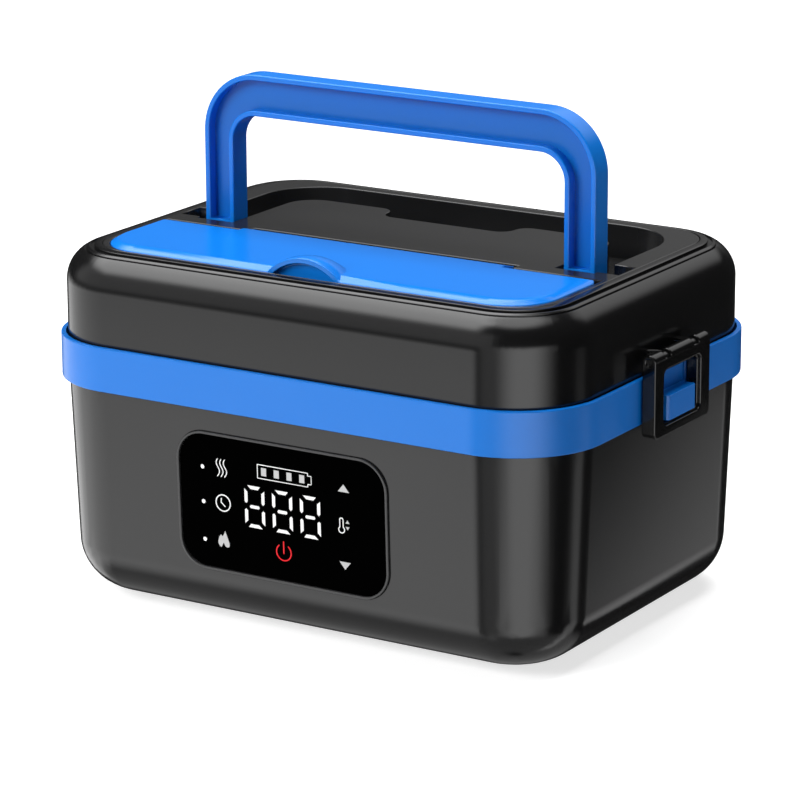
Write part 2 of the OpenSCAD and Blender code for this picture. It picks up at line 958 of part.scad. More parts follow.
module pivot_pocket(g) {
    top = lid_top + (g > 0 ? -deck_t / 2 : 9);
    block([channel_out - 3, pocket_y0 - g, pocket_z - g], [pocket_x + g, pocket_y1 + g, top]);
}

module lid_deck() {
    color(deck_grey)
        difference() {
            union() {
                slab(deck_r, deck_z, deck_t);
                translate([0, 0, channel_floor - tub_wall])
                    linear_extrude(height = deck_z + eps - channel_floor + tub_wall)
                        channel_shape(tub_wall);
                bay_boxes(tub_wall);
                for (s = [-1, 1])
                    side(s)
                        pivot_pocket(pocket_wall);
            }
            translate([0, 0, channel_floor])
                linear_extrude(height = far)
                    channel_shape(0);
            bay_boxes(0);
            translate([0, 0, flap_z - free_gap])
                linear_extrude(height = far)
                    flap_shape(free_gap);
            for (s = [-1, 1])
                side(s) {
                    pivot_pocket(0);
                    rod_x(channel_in - 3, pocket_x + far, 0, handle_z, handle_pin_r);
                    rod_x(flap_w / 2 - 8, flap_pin_end, flap_pin_y, flap_pin_z, flap_pin_r);
                }
        }
}

module inner_cover() {
    color([0.24, 0.24, 0.25])
        difference() {
            union() {
                slab(lid_r - lid_wall - 0.3, inner_cover_z, inner_cover_t);
                around()
                    translate([pan_rim_r + 2, flange_top + 3])
                        square([lid_gasket_w - 1.2, inner_cover_z - flange_top - 3 + eps]);
            }
            lid_posts(1.5, inner_cover_z - 1, 5);
            // shallow panel pressed into the cover
            slab(8, inner_cover_z - 1, 1.8);
        }
}

lid_gasket_w = 3.2;
lid_gasket_h = 5;

module lid_gasket() {
    color(seal_grey)
        around()
            difference() {
                translate([pan_rim_r + 1.2, flange_top + free_gap])
                    square([lid_gasket_w, lid_gasket_h]);
                translate([pan_rim_r + 2, flange_top + 3])
                    square([lid_gasket_w - 1.2, lid_gasket_h - 1]);
            }
}

module lid_insulation() {
    color([0.86, 0.84, 0.78])
        slab(6, inner_cover_z + inner_cover_t,
             bay_floor - tub_wall - inner_cover_z - inner_cover_t - 0.6);
}

module lid_screws() {
    color(steel)
        difference() {
            union() {
                lid_posts(1.1, inner_cover_z - eps, 9);
                lid_posts(2.6, inner_cover_z - 1.2, 1.2);
            }
            for (x = [-1, 1], y = [-1, 1])
                translate([x * (core_x + lid_post_at), y * (core_y + lid_post_at), inner_cover_z - 1.2])
                    for (turn = [0, 90])
                        rotate(turn)
                            cube([3, 0.6, 1.2], center = true);
        }
}

// ---- Handle ----

// The handle's flat outline, drawn in from both edges by inset
module handle_outline(inset) {
    h = handle_top - handle_z;
    difference() {
        back_rounded(handle_w / 2 - inset, h - inset, handle_r - inset);
        translate([0, -1])
            back_rounded(leg_in + inset, h + 1 - grip_h + inset, handle_in_r + inset);
    }
}

// Stands the handle's flat outline up, with its thickness along Y
module upright(y0, y1) {
    translate([0, y1, handle_z])
        rotate([90, 0, 0])
            linear_extrude(height = y1 - y0)
                children();
}

module handle() {
    color(blue)
        difference() {
            union() {
                upright(-handle_t / 2, handle_t / 2)
                    handle_outline(0);
                for (s = [-1, 1])
                    side(s)
                        rod_x(leg_in, handle_w / 2, 0, handle_z, handle_t / 2);
            }
            // the channel in the front face, down to the solid foot of each leg
            difference() {
                upright(-handle_t, handle_t / 2 - web_t)
                    handle_outline(flange_t);
                block([-far, -far, handle_z - 9], [far, far, lid_top - 0.5]);
            }
            for (s = [-1, 1])
                side(s)
                    rod_x(0, handle_w, 0, handle_z, handle_pin_r + run_gap);
        }
}

module handle_pins() {
    color(steel)
        for (s = [-1, 1])
            side(s)
                rod_x(channel_in - tub_wall, pocket_x + pocket_wall, 0, handle_z, handle_pin_r);
}

// ---- Flap ----

// The dome over the finger pull, its front cut off by the flap's front
module pull_dome(r) {
    translate([0, flap_front + 3, flap_top + pull_rise - pull_r])
        sphere(r, $fn = 96);
}

// Cuts the slope that falls to the flap's back edge at y, from x0 to x1
module back_slope(x0, x1, y) {
    fall = flap_proud / flap_back_slope;
    translate([x0, 0, 0])
        rotate([90, 0, 90])
            linear_extrude(height = x1 - x0)
                polygon([
                    [y - flap_back_slope, flap_top], [y + 1, flap_top - flap_proud - fall],
                    [y + 1, flap_top + 1], [y - flap_back_slope, flap_top + 1]
                ]);
}

module flap_plate() {
    ax = flap_w / 2 - flap_r;
    difference() {
        intersection() {
            translate([0, flap_front + flap_r + flap_d, 0]) {
                around(ax, flap_d)
                    polygon([
                        [0, flap_z], [flap_r, flap_z], [flap_r, flap_top - flap_proud],
                        [flap_r - flap_slope_w, flap_top], [0, flap_top]
                    ]);
                translate([-ax, -flap_d, flap_z])
                    cube([2 * ax, 2 * flap_d, flap_t]);
            }
            translate([0, 0, flap_z - 1])
                linear_extrude(height = flap_t + 2)
                    flap_shape();
        }
        back_slope(-tongue_w / 2, tongue_w / 2, flap_back + tongue_d);
        for (s = [-1, 1])
            side(s)
                back_slope(tongue_w / 2, flap_w, flap_back);
    }
}

module flap() {
    color(blue)
        difference() {
            union() {
                flap_plate();
                // the finger pull's hood, and its inner wall below the flap
                difference() {
                    intersection() {
                        pull_dome(pull_r);
                        block([-far, flap_front, flap_z - pull_skirt], [far, far, far]);
                    }
                    block([-far, -far, -far], [far, bay_front + 0.5, flap_z]);
                }
                for (s = [-1, 1])
                    side(s)
                        rod_x(flap_w / 2 - 8.8, flap_w / 2 - flap_slope_w / 2,
                              flap_pin_y, flap_pin_z, flap_lug_r);
            }
            for (s = [-1, 1])
                side(s)
                    rod_x(flap_w / 2 - 9.8, flap_w, flap_pin_y, flap_pin_z, flap_pin_r + run_gap);
            pull_dome(pull_r - pull_wall);
        }
}

module flap_pins() {
    color(steel)
        for (s = [-1, 1])
            side(s)
                rod_x(flap_w / 2 - 7.5, flap_pin_end, flap_pin_y, flap_pin_z, flap_pin_r);
}

// ---- Latches ----

module latch(s) {
    low = bar_top - bar_h;
    color([0.09, 0.09, 0.1])
        side(s)
            difference() {
                union() {
                    translate([latch_back, 0, 0])
                        rotate([90, 0, 90])
                            linear_extrude(height = latch_t)
                                difference() {
                                    translate([0, (low + pin_z) / 2 + 5])
                                        round_rect(latch_w, pin_z - low + 10, 3);
                                    translate([-latch_w, pin_z])
                                        square([2 * latch_w, 20]);
                                    translate([0, (bar_top + window_top) / 2])
                                        round_rect(latch_w - 2 * side_bar_w, window_top - bar_top, 2);
                                }
                    rod_y(pin_x, -latch_w / 2, latch_w / 2, pin_z, knuckle_r);
                }
                // room for the lid's two ears, open at the back and the top
                for (y = [-1, 1])
                    translate([0, y * (ear_in + ear_w / 2), 0]) {
                        block([0, -ear_w / 2 - ear_gap, pin_z - ear_r - ear_gap],
                              [pin_x + ear_r + ear_gap, ear_w / 2 + ear_gap, far]);
                        block([0, -ear_w / 2 - ear_gap, pin_z + 0.4],
                              [far, ear_w / 2 + ear_gap, far]);
                    }
                // stepped edge round the window
                translate([latch_back + latch_t - 1, 0, 0])
                    rotate([90, 0, 90])
                        linear_extrude(height = latch_t)
                            translate([0, (bar_top + window_top) / 2])
                                round_rect(latch_w - 2 * side_bar_w + 2.4,
                                           window_top - bar_top + 1.6, 2.6);
                rod_y(pin_x, -latch_w, latch_w, pin_z, latch_pin_r + run_gap);
            }
}

module latch_pins() {
    color(steel)
        latch_pin_holes(latch_pin_r, latch_w / 2 - 0.5);
}

base_shell();
collar();
catch(-1);  // catch_left
catch(1);  // catch_right
display_bezel();
display_glass();
display_board();
digit_module();
inner_liner();
heater_element();
heater_plate();
thermistor();
insulation_pad();
battery_cells();
battery_holder();
battery_cover();
cover_screws();
main_board();
board_parts();
power_socket();
socket_plug();
feet();
food_container();
container_cover();
cover_gasket();
steam_vent();
lid_shell();
lid_deck();
inner_cover();
lid_gasket();
lid_insulation();
lid_screws();
handle_pins();
flap_pins();
latch_pins();
handle();
flap();
latch(-1);  // latch_left
latch(1);  // latch_right
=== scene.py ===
"""Electric lunch box, laid out as a Blender add-on.

It rounds and dresses the mouldings, makes the signs on the panel and sets the studio.
"""
import json
import math

import bmesh
import bpy
from mathutils import Matrix, Vector


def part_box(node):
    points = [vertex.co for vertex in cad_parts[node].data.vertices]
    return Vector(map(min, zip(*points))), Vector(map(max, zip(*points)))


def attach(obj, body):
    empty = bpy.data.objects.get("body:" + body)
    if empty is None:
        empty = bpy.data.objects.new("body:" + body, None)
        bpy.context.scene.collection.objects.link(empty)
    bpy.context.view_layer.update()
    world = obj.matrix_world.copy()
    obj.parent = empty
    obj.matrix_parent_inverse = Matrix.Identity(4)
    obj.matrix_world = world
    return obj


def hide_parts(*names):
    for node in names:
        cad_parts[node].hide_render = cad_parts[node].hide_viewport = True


bl_info = {
    "name": "Electric Lunch Box",
    "version": (1, 0, 0),
    "blender": (4, 5, 0),
    "location": "View3D > Sidebar > Lunch Box",
    "description": "Rounds and dresses the mouldings of an electric lunch box and sets its studio",
    "category": "Object",
}

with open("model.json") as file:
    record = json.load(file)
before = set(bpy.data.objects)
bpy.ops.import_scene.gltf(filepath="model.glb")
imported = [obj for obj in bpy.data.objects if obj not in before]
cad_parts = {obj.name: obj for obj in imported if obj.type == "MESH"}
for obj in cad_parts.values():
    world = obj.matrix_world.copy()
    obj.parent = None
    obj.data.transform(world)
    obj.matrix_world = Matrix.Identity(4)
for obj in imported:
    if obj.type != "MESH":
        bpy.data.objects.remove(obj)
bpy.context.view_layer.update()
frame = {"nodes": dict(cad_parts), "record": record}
NODES = frame["nodes"]
RECORD = frame["record"]
BODY_OF = {node: body for body, nodes in RECORD["behaviour"]["bodies"].items() for node in nodes}


def mm(value):
    """Millimetres as metres."""
    return value * 0.001


WELD = mm(0.004)  # points closer than this are one point
FLAT = math.radians(0.4)  # faces that meet at less than this are one face
CORNER = math.radians(30)  # faces that meet at more than this make an edge
DOWN = -0.99  # a face whose normal has a lower Z looks straight down


# ---------------------------------------------------------------- settings


def colour_setting(name, description, default):
    """A colour."""
    return bpy.props.FloatVectorProperty(
        name=name, description=description, subtype="COLOR", size=3, min=0, max=1,
        default=default)


def length_setting(name, description, default, top=3.0):
    """A length given here in millimetres and kept in metres."""
    return bpy.props.FloatProperty(
        name=name, description=description, subtype="DISTANCE", unit="LENGTH",
        min=0, max=mm(top), default=mm(default), precision=5)


def angle_setting(name, description, degrees):
    """An angle given here in degrees and kept in radians."""
    return bpy.props.FloatProperty(
        name=name, description=description, subtype="ANGLE", unit="ROTATION",
        default=math.radians(degrees))


class FinishSettings(bpy.types.PropertyGroup):
    """Colours and surface of the moulded plastics, with a darker blue that paints the shade in the
    handle's channel.
    """

    shell: colour_setting("Shell", "Colour of the case and the lid", (0.006, 0.006, 0.0062))
    deck: colour_setting("Deck", "Colour of the polished deck in the lid", (0.016, 0.016, 0.0162))
    blue: colour_setting("Blue", "Colour of the collar, handle and flap", (0.004, 0.175, 0.655))
    # a darker blue than the handle's own: painted shade on the floor of the deep channel
    painted_shade_web: colour_setting(
        "Handle web", "Colour of the floor in the handle's channel", (0.0035, 0.125, 0.47))
    latch: colour_setting("Latch", "Colour of the latches", (0.004, 0.004, 0.0042))
    grain: length_setting("Grain", "Size of the grain moulded into the shell", 0.5)


class EdgeSettings(bpy.types.PropertyGroup):
    """How far the edges of the mouldings are rounded."""

    case: length_setting("Case", "Rounding of the case's edges", 0.25)
    collar: length_setting("Collar", "Rounding of the collar's edges", 0.25)
    lid: length_setting("Lid", "Rounding of the lid's edges and grooves", 0.2)
    deck: length_setting("Deck", "Rounding of the deck's openings", 0.5)
    handle: length_setting("Handle", "Rounding of the handle's edges", 0.6)
    flap: length_setting("Flap", "Rounding of the flap's edges", 0.4)
    latch: length_setting("Latch", "Rounding of the latches' edges", 0.65)
    panel: length_setting("Panel", "Rounding of the bezel and the glass", 0.3)


class PanelSettings(bpy.types.PropertyGroup):
    """Sizes and colours of the signs on the control panel."""

    lean: angle_setting("Lean", "Angle by which the panel leans back at its foot", 2.06)
    film: length_setting("Film", "Thickness of the printed signs", 0.08, 0.4)
    digit_width: length_setting("Digit width", "Width of a lit digit", 9.3, 14)
    digit_height: length_setting("Digit height", "Height of a lit digit", 17.2, 24)
    digit_pitch: length_setting("Digit pitch", "Distance from one digit to the next", 12.9, 18)
    segment: length_setting("Segment", "Thickness of a digit's segment", 1.4)
    stroke: length_setting("Stroke", "Thickness of a sign's line", 0.5)
    lit: colour_setting("Lit", "Colour of the lit digits and lamps", (0.8, 0.8, 0.8))
    printed: colour_setting("Printed", "Colour of the grey signs", (0.5, 0.5, 0.5))
    power: colour_setting("Power", "Colour of the power sign", (0.72, 0.008, 0.015))


class StudioSettings(bpy.types.PropertyGroup):
    """Where the camera stands."""

    azimuth: angle_setting("Azimuth", "Turn of the camera round the box", 31.812)
    elevation: angle_setting("Elevation", "Height of the camera as an angle", 15.82)
    roll: angle_setting("Roll", "Roll of the camera", -0.232)
    distance: bpy.props.FloatProperty(
        name="Distance", description="Distance from the camera to its target",
        subtype="DISTANCE", unit="LENGTH", min=0.3, max=5, default=1.5658)
    lens: bpy.props.FloatProperty(
        name="Lens", description="Focal length in millimetres", min=20, max=400, default=174.36)
    target: bpy.props.FloatVectorProperty(
        name="Target", description="The point that the camera looks at",
        subtype="TRANSLATION", unit="LENGTH", size=3, default=(-0.00094, 0, 0.07845))


# ---------------------------------------------------------------- materials

SINK_SCALE, SINK_RANGE = 22, (0.3, 0.7)  # noise of the sink marks, and the levels it spreads
GRAIN_SHADE = (0.08, 0.96)  # what the grain adds to the colour's value, and what it adds to
BUMP_HEIGHT = 0.0001
BRUSH_SCALE, BRUSH_STRETCH, BRUSH_DEPTH = 260, (1, 1, 40), 0.12
BRUSH_GLOSS = (-0.08, 0.1)  # least and most that the brushing adds to the roughness
SPECK_SCALE, SPECK_SHADE = 2500, (0.94, 1.04)
SIGN_ROUGHNESS = 0.5

def new_material(name):
    """A material with a bare Principled BSDF, its node tree and the shader."""
    material = bpy.data.materials.new(name)
    material.use_nodes = True
    tree = material.node_tree
    return material, tree, tree.nodes["Principled BSDF"]


def empty_material(name):
    """A material without a shader, its node tree and its output."""
    material = bpy.data.materials.new(name)
    material.use_nodes = True
    tree = material.node_tree
    tree.nodes.clear()
    return material, tree, add(tree, "ShaderNodeOutputMaterial")


def add(tree, kind, **values):
    """Adds a node and sets its plain properties."""
    node = tree.nodes.new(kind)
    for key, value in values.items():
        setattr(node, key, value)
    return node


def math_of(tree, operation, *values):
    """What a Math node makes of numbers and of other nodes' outputs."""
    node = add(tree, "ShaderNodeMath", operation=operation)
    for socket, value in zip(node.inputs, values):
        if isinstance(value, (int, float)):
            socket.default_value = value
        else:
            tree.links.new(value, socket)
    return node.outputs[0]


def mixed(tree, share, first, second):
    """A mix of two shaders, the second one where the share is 1."""
    node = add(tree, "ShaderNodeMixShader")
    for source, socket in zip((share, first, second), node.inputs):
        tree.links.new(source, socket)
    return node.outputs[0]


def new_group(name, kind, inputs, outputs):
    """An empty node group with named sockets, and its input and output nodes."""
    group = bpy.data.node_groups.new(name, kind)
    for label, socket, default in inputs:
        made = group.interface.new_socket(name=label, in_out="INPUT", socket_type=socket)
        if default is not None:
            made.default_value = default
    for label, socket in outputs:
        group.interface.new_socket(name=label, in_out="OUTPUT", socket_type=socket)
    return group, add(group, "NodeGroupInput"), add(group, "NodeGroupOutput")


def moulded_surface():
    """A group that gives a moulded plastic's fine grain, sink marks and uneven gloss."""
    if "moulded_surface" in bpy.data.node_groups:
        return bpy.data.node_groups["moulded_surface"]
    group, given, out = new_group(
        "moulded_surface", "ShaderNodeTree",
        [("Colour", "NodeSocketColor", (0.1, 0.1, 0.1, 1)), ("Roughness", "NodeSocketFloat", 0.35),
         ("Unevenness", "NodeSocketFloat", 0.05), ("Grain size", "NodeSocketFloat", 0.0005),
         ("Grain depth", "NodeSocketFloat", 0.05)],
        [("Colour", "NodeSocketColor"), ("Roughness", "NodeSocketFloat"),
         ("Normal", "NodeSocketVector")])
    link = group.links.new
    place = add(group, "ShaderNodeTexCoord")
    grain = add(group, "ShaderNodeTexNoise")
    grain.inputs["Detail"].default_value = 2
    link(place.outputs["Object"], grain.inputs["Vector"])
    link(math_of(group, "DIVIDE", 1, given.outputs["Grain size"]), grain.inputs["Scale"])
    sinks = add(group, "ShaderNodeTexNoise")
    sinks.inputs["Scale"].default_value = SINK_SCALE
    sinks.inputs["Detail"].default_value = 3
    link(place.outputs["Object"], sinks.inputs["Vector"])
    smear = add(group, "ShaderNodeMapRange")
    smear.inputs["From Min"].default_value, smear.inputs["From Max"].default_value = SINK_RANGE
    smear.inputs["To Min"].default_value = -1
    link(sinks.outputs["Fac"], smear.inputs["Value"])
    uneven = math_of(
        group, "MULTIPLY_ADD", smear.outputs["Result"], given.outputs["Unevenness"],
        given.outputs["Roughness"])
    link(uneven, out.inputs["Roughness"])
    tone = add(group, "ShaderNodeHueSaturation")
    shade = math_of(group, "MULTIPLY_ADD", grain.outputs["Fac"], *GRAIN_SHADE)
    link(shade, tone.inputs["Value"])
    link(given.outputs["Colour"], tone.inputs["Color"])
    link(tone.outputs["Color"], out.inputs["Colour"])
    bump = add(group, "ShaderNodeBump")
    bump.inputs["Distance"].default_value = BUMP_HEIGHT
    link(given.outputs["Grain depth"], bump.inputs["Strength"])
    link(grain.outputs["Fac"], bump.inputs["Height"])
    link(bump.outputs["Normal"], out.inputs["Normal"])
    return group


def plastic(name, colour, roughness, uneven=0.02, grain=0.0005, depth=0.03, specular=0.5):
    """A moulded plastic with its own grain and gloss."""
    material, tree, shader = new_material(name)
    surface = add(tree, "ShaderNodeGroup", node_tree=moulded_surface())
    surface.inputs["Colour"].default_value = (*colour, 1)
    surface.inputs["Roughness"].default_value = roughness
    surface.inputs["Unevenness"].default_value = uneven
    surface.inputs["Grain size"].default_value = grain
    surface.inputs["Grain depth"].default_value = depth
    for label, target in (
            ("Colour", "Base Color"), ("Roughness", "Roughness"), ("Normal", "Normal")):
        tree.links.new(surface.outputs[label], shader.inputs[target])
    shader.inputs["Specular IOR Level"].default_value = specular
    return material


def brushed_metal(name, colour, roughness):
    """Metal with fine brushing along two of its axes."""
    material, tree, shader = new_material(name)
    place = add(tree, "ShaderNodeTexCoord")
    lay = add(tree, "ShaderNodeMapping")
    lay.inputs["Scale"].default_value = BRUSH_STRETCH
    lines = add(tree, "ShaderNodeTexNoise")
    lines.inputs["Scale"].default_value = BRUSH_SCALE
    lines.inputs["Detail"].default_value = 4
    level = add(tree, "ShaderNodeMapRange")
    least, most = BRUSH_GLOSS
    level.inputs["To Min"].default_value = roughness + least
    level.inputs["To Max"].default_value = roughness + most
    bump = add(tree, "ShaderNodeBump")
    bump.inputs["Strength"].default_value = BRUSH_DEPTH
    bump.inputs["Distance"].default_value = BUMP_HEIGHT
    link = tree.links.new
    link(place.outputs["Object"], lay.inputs["Vector"])
    link(lay.outputs["Vector"], lines.inputs["Vector"])
    link(lines.outputs["Fac"], level.inputs["Value"])
    link(level.outputs["Result"], shader.inputs["Roughness"])
    link(lines.outputs["Fac"], bump.inputs["Height"])
    link(bump.outputs["Normal"], shader.inputs["Normal"])
    shader.inputs["Base Color"].default_value = (*colour, 1)
    shader.inputs["Metallic"].default_value = 1
    return material


def light_print(name, colour, glow):
    """A sign that is printed or lit from behind. Its glow is a lit sign's own light, and painted
    light on a printed sign.
    """
    material, tree, shader = new_material(name)
    place = add(tree, "ShaderNodeTexCoord")
    speck = add(tree, "ShaderNodeTexNoise")
    speck.inputs["Scale"].default_value = SPECK_SCALE
    level = add(tree, "ShaderNodeMapRange")
    level.inputs["To Min"].default_value, level.inputs["To Max"].default_value = SPECK_SHADE
    tone = add(tree, "ShaderNodeHueSaturation")
    tone.inputs["Color"].default_value = (*colour, 1)
    link = tree.links.new
    link(place.outputs["Object"], speck.inputs["Vector"])
    link(speck.outputs["Fac"], level.inputs["Value"])
    link(level.outputs["Result"], tone.inputs["Value"])
    link(tone.outputs["Color"], shader.inputs["Base Color"])
    link(tone.outputs["Color"], shader.inputs["Emission Color"])
    shader.inputs["Emission Strength"].default_value = glow
    shader.inputs["Roughness"].default_value = SIGN_ROUGHNESS
    return material


# ---------------------------------------------------------------- pieces


def dress(material, *names):
    """Gives CAD nodes a material."""
    for name in names:
        slots = NODES[name].data.materials
        slots.clear()
        slots.append(material)


def plain_mesh(thing, name):
    """The mesh that an object's modifiers give. The object itself goes."""
    deps = bpy.context.evaluated_depsgraph_get()
    mesh = bpy.data.meshes.new_from_object(thing.evaluated_get(deps), depsgraph=deps)
    mesh.name = name
    bpy.data.objects.remove(thing)
    return mesh


def to_mesh(shape, name="working"):
    """A mesh of what a bmesh holds. The bmesh itself goes."""
    mesh = bpy.data.meshes.new(name)
    shape.to_mesh(mesh)
    shape.free()
    return mesh


def link_object(name, data):
    """An object in the scene for a mesh, a lamp or a camera."""
    thing = bpy.data.objects.new(name, data)
    bpy.context.scene.collection.objects.link(thing)
    return thing


def node_shape(name):
    """A CAD node's mesh as a bmesh, merged by distance."""
    shape = bmesh.new()
    shape.from_mesh(NODES[name].data)
    bmesh.ops.remove_doubles(shape, verts=shape.verts, dist=WELD)
    return shape


def rounded(material, width, *names, steps=3, under=True):
    """Puts copies of CAD nodes in the place of the nodes, with their outer edges rounded.

    Inner edges stay sharp. With `under` off, faces that look straight down are cut into
    triangles, and their edges stay sharp too.
    """
    for name in names:
        shape = node_shape(name)
        bmesh.ops.dissolve_degenerate(shape, dist=WELD, edges=shape.edges)
        bmesh.ops.dissolve_limit(
            shape, angle_limit=FLAT, verts=shape.verts, edges=shape.edges)
        if not under:
            below = [face for face in shape.faces if face.normal.z < DOWN]
            bmesh.ops.triangulate(shape, faces=below)
        weight = shape.edges.layers.float.new("bevel_weight_edge")
        for edge in shape.edges:
            turn = edge.calc_face_angle_signed(0)
            if abs(turn) < CORNER:
                continue
            if turn > 0 and (under or min(face.normal.z for face in edge.link_faces) > DOWN):
                edge[weight] = 1
            else:
                edge.smooth = False
        for face in shape.faces:
            face.smooth = True
        thing = link_object(name, to_mesh(shape))
        bevel = thing.modifiers.new("edges", "BEVEL")
        bevel.width = width
        bevel.segments = steps
        bevel.limit_method = "WEIGHT"
        bevel.use_clamp_overlap = False
        shading = thing.modifiers.new("shading", "WEIGHTED_NORMAL")
        shading.weight = 100
        shading.keep_sharp = True
        mesh = plain_mesh(thing, name + "_rounded")
        low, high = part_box(name)
        for vertex in mesh.vertices:
            vertex.co = [min(max(value, a), b) for value, a, b in zip(vertex.co, low, high)]
        mesh.materials.append(material)
        thing = link_object(name + "_rounded", mesh)
        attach(thing, BODY_OF[name])
        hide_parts(name)


# ---------------------------------------------------------------- panel signs
# Signs are drawn flat in millimetres, x from the middle of the box and y up from the
# table, and are then carried to the leaning glass.
LAMP_SPOTS, LAMP_RADIUS = ((-38.3, 67.1), (-38.4, 52.7), (-38.4, 37)), 0.85
STEAM_TOP, STEAM_HEIGHT, STEAM_PITCH = (-31.0, 71.3), 7.0, 1.68
STEAM_SWING, STEAM_TURNS, STEAM_START, STEAM_DRIFT = 0.78, 0.97, 0.35, 0.25
STEAM_WIDTH = 0.85  # as a share of the other signs' line
CLOCK_CENTRE, CLOCK_RADIUS = (-29.1, 53.4), 3.35
CLOCK_HANDS = [(-29.9, 55.2), (-30.1, 53.7), (-28.3, 52.1)]
BATTERY = [(-12.4, 72), (10.9, 72), (10.9, 70.9), (12.5, 70.9),
           (12.5, 67.5), (10.9, 67.5), (10.9, 66.4), (-12.4, 66.4)]
BATTERY_LINE, BATTERY_CORNER = 0.34, 0.06
CHARGE_BAR = [(-10.65, 67.6), (-8.3, 67.6), (-8.3, 70.85), (-10.65, 70.85)]
CHARGE_COUNT, CHARGE_PITCH = 4, 5.88
FLAME = [(-28.7, 41.9), (-27.7, 39.4), (-26.8, 36.9), (-26.75, 35.9), (-27.2, 35.25),
         (-28, 35.1), (-28.7, 35.4), (-29.1, 36.1), (-29.55, 37), (-30.0, 36.1),
         (-30.7, 34.9), (-31.5, 35.4), (-32.05, 36.4), (-32.1, 37.4), (-31.6, 39),
         (-30.7, 40.2), (-30.35, 39.7), (-29.9, 39.4), (-29.3, 40.4)]
ARROWS = ([(29.7, 66.95), (24.6, 66.95), (27.15, 70.1)],
          [(27, 35.3), (29.6, 38.4), (24.5, 38.4)],
          [(29.5, 54.35), (27.7, 54.35), (28.6, 55.7)],
          [(28.6, 51.7), (27.7, 53), (29.5, 53)])
BULB_CENTRE, BULB_RADIUS, BULB_GAP = (25.85, 51.5), 1.32, 35
TUBE_CENTRE, TUBE_RADIUS, TUBE_LINE = (25.85, 55.5), 0.76, 0.42
POWER_CENTRE, POWER_RADIUS, POWER_GAP, POWER_LINE = (-1.25, 37.6), 3.4, 40, 0.52
POWER_BAR = [(-1.25, 41.9), (-1.25, 37.2)]
DIGIT_CENTRE = (-14.2, 54.1)

def flat_plate(*outlines):
    """Flat outlines as one mesh of faces."""
    shape = bmesh.new()
    for outline in outlines:
        shape.faces.new([shape.verts.new((mm(x), mm(y), 0)) for x, y in outline])
    bmesh.ops.recalc_face_normals(shape, faces=shape.faces)
    for face in shape.faces:
        if face.normal.z < 0:
            face.normal_flip()
    return to_mesh(shape)


def paths(*lines):
    """Lines through points as a mesh of edges. A line that ends on its first point is closed."""
    shape = bmesh.new()
    for line in lines:
        closed = line[0] == line[-1]
        spots = [shape.verts.new((mm(x), mm(y), 0)) for x, y in (line[:-1] if closed else line)]
        for a, b in zip(spots, spots[1:] + (spots[:1] if closed else [])):
            shape.edges.new((a, b))
    return to_mesh(shape)


def points(*places):
    """Places as a mesh of single points."""
    shape = bmesh.new()
    for x, y in places:
        shape.verts.new((mm(x), mm(y), 0))
    return to_mesh(shape)


def arc(centre, r, start, end, steps=48):
    """Points round a centre, with angles in degrees from straight up, clockwise."""
    x, y = centre
    turns = [math.radians(start + (end - start) * i / steps) for i in range(steps + 1)]
    ring = [(x + r * math.sin(a), y + r * math.cos(a)) for a in turns]
    return ring[:-1] + ring[:1] if abs(end - start) == 360 else ring


def finish_tree(group, out, source, material, film=None):
    """Ends a tree of signs with its thickness, Realize Instances and Set Material."""
    link = group.links.new
    if film:
        thick = add(group, "GeometryNodeExtrudeMesh")
        thick.inputs["Individual"].default_value = False
        link(source, thick.inputs["Mesh"])
        link(film, thick.inputs["Offset Scale"])
        back = add(group, "GeometryNodeFlipFaces")
        link(source, back.inputs["Mesh"])
        both = add(group, "GeometryNodeJoinGeometry")
        link(thick.outputs["Mesh"], both.inputs[0])
        link(back.outputs["Mesh"], both.inputs[0])
        weld = add(group, "GeometryNodeMergeByDistance")
        weld.inputs["Distance"].default_value = mm(0.001)
        link(both.outputs[0], weld.inputs["Geometry"])
        source = weld.outputs[0]
    real = add(group, "GeometryNodeRealizeInstances")
    link(source, real.inputs[0])
    paint = add(group, "GeometryNodeSetMaterial")
    link(real.outputs[0], paint.inputs["Geometry"])
    link(material, paint.inputs["Material"])
    link(paint.outputs[0], out.inputs["Geometry"])


def geometry_group(name, *inputs):
    """An empty Geometry Nodes tree that takes a material too."""
    return new_group(
        name, "GeometryNodeTree",
        [("Geometry", "NodeSocketGeometry", None), *inputs,
         ("Material", "NodeSocketMaterial", None)],
        [("Geometry", "NodeSocketGeometry")])


def in_row(group, given, source):
    """Copies of a geometry in a row, as the tree's count and step have it."""
    link = group.links.new
    row = add(group, "GeometryNodeMeshLine")
    link(given.outputs["Count"], row.inputs["Count"])
    link(given.outputs["Step"], row.inputs["Offset"])
    copies = add(group, "GeometryNodeInstanceOnPoints")
    link(row.outputs["Mesh"], copies.inputs["Points"])
    link(source, copies.inputs["Instance"])
    return copies.outputs[0]


def disc(group, sides, radius, film):
    """A round disc of a film's thickness."""
    node = add(group, "GeometryNodeMeshCylinder")
    node.inputs["Vertices"].default_value = sides
    group.links.new(radius, node.inputs["Radius"])
    group.links.new(film, node.inputs["Depth"])
    return node.outputs["Mesh"]


def plates_tree():
    """Flat outlines of a film's thickness, repeated in a row."""
    group, given, out = geometry_group(
        "sign_plates", ("Film", "NodeSocketFloat", 0.0001), ("Count", "NodeSocketInt", 1),
        ("Step", "NodeSocketVector", (0, 0, 0)))
    solid = add(group, "GeometryNodeRealizeInstances")
    group.links.new(in_row(group, given, given.outputs["Geometry"]), solid.inputs[0])
    finish_tree(group, out, solid.outputs[0], given.outputs["Material"], given.outputs["Film"])
    return group


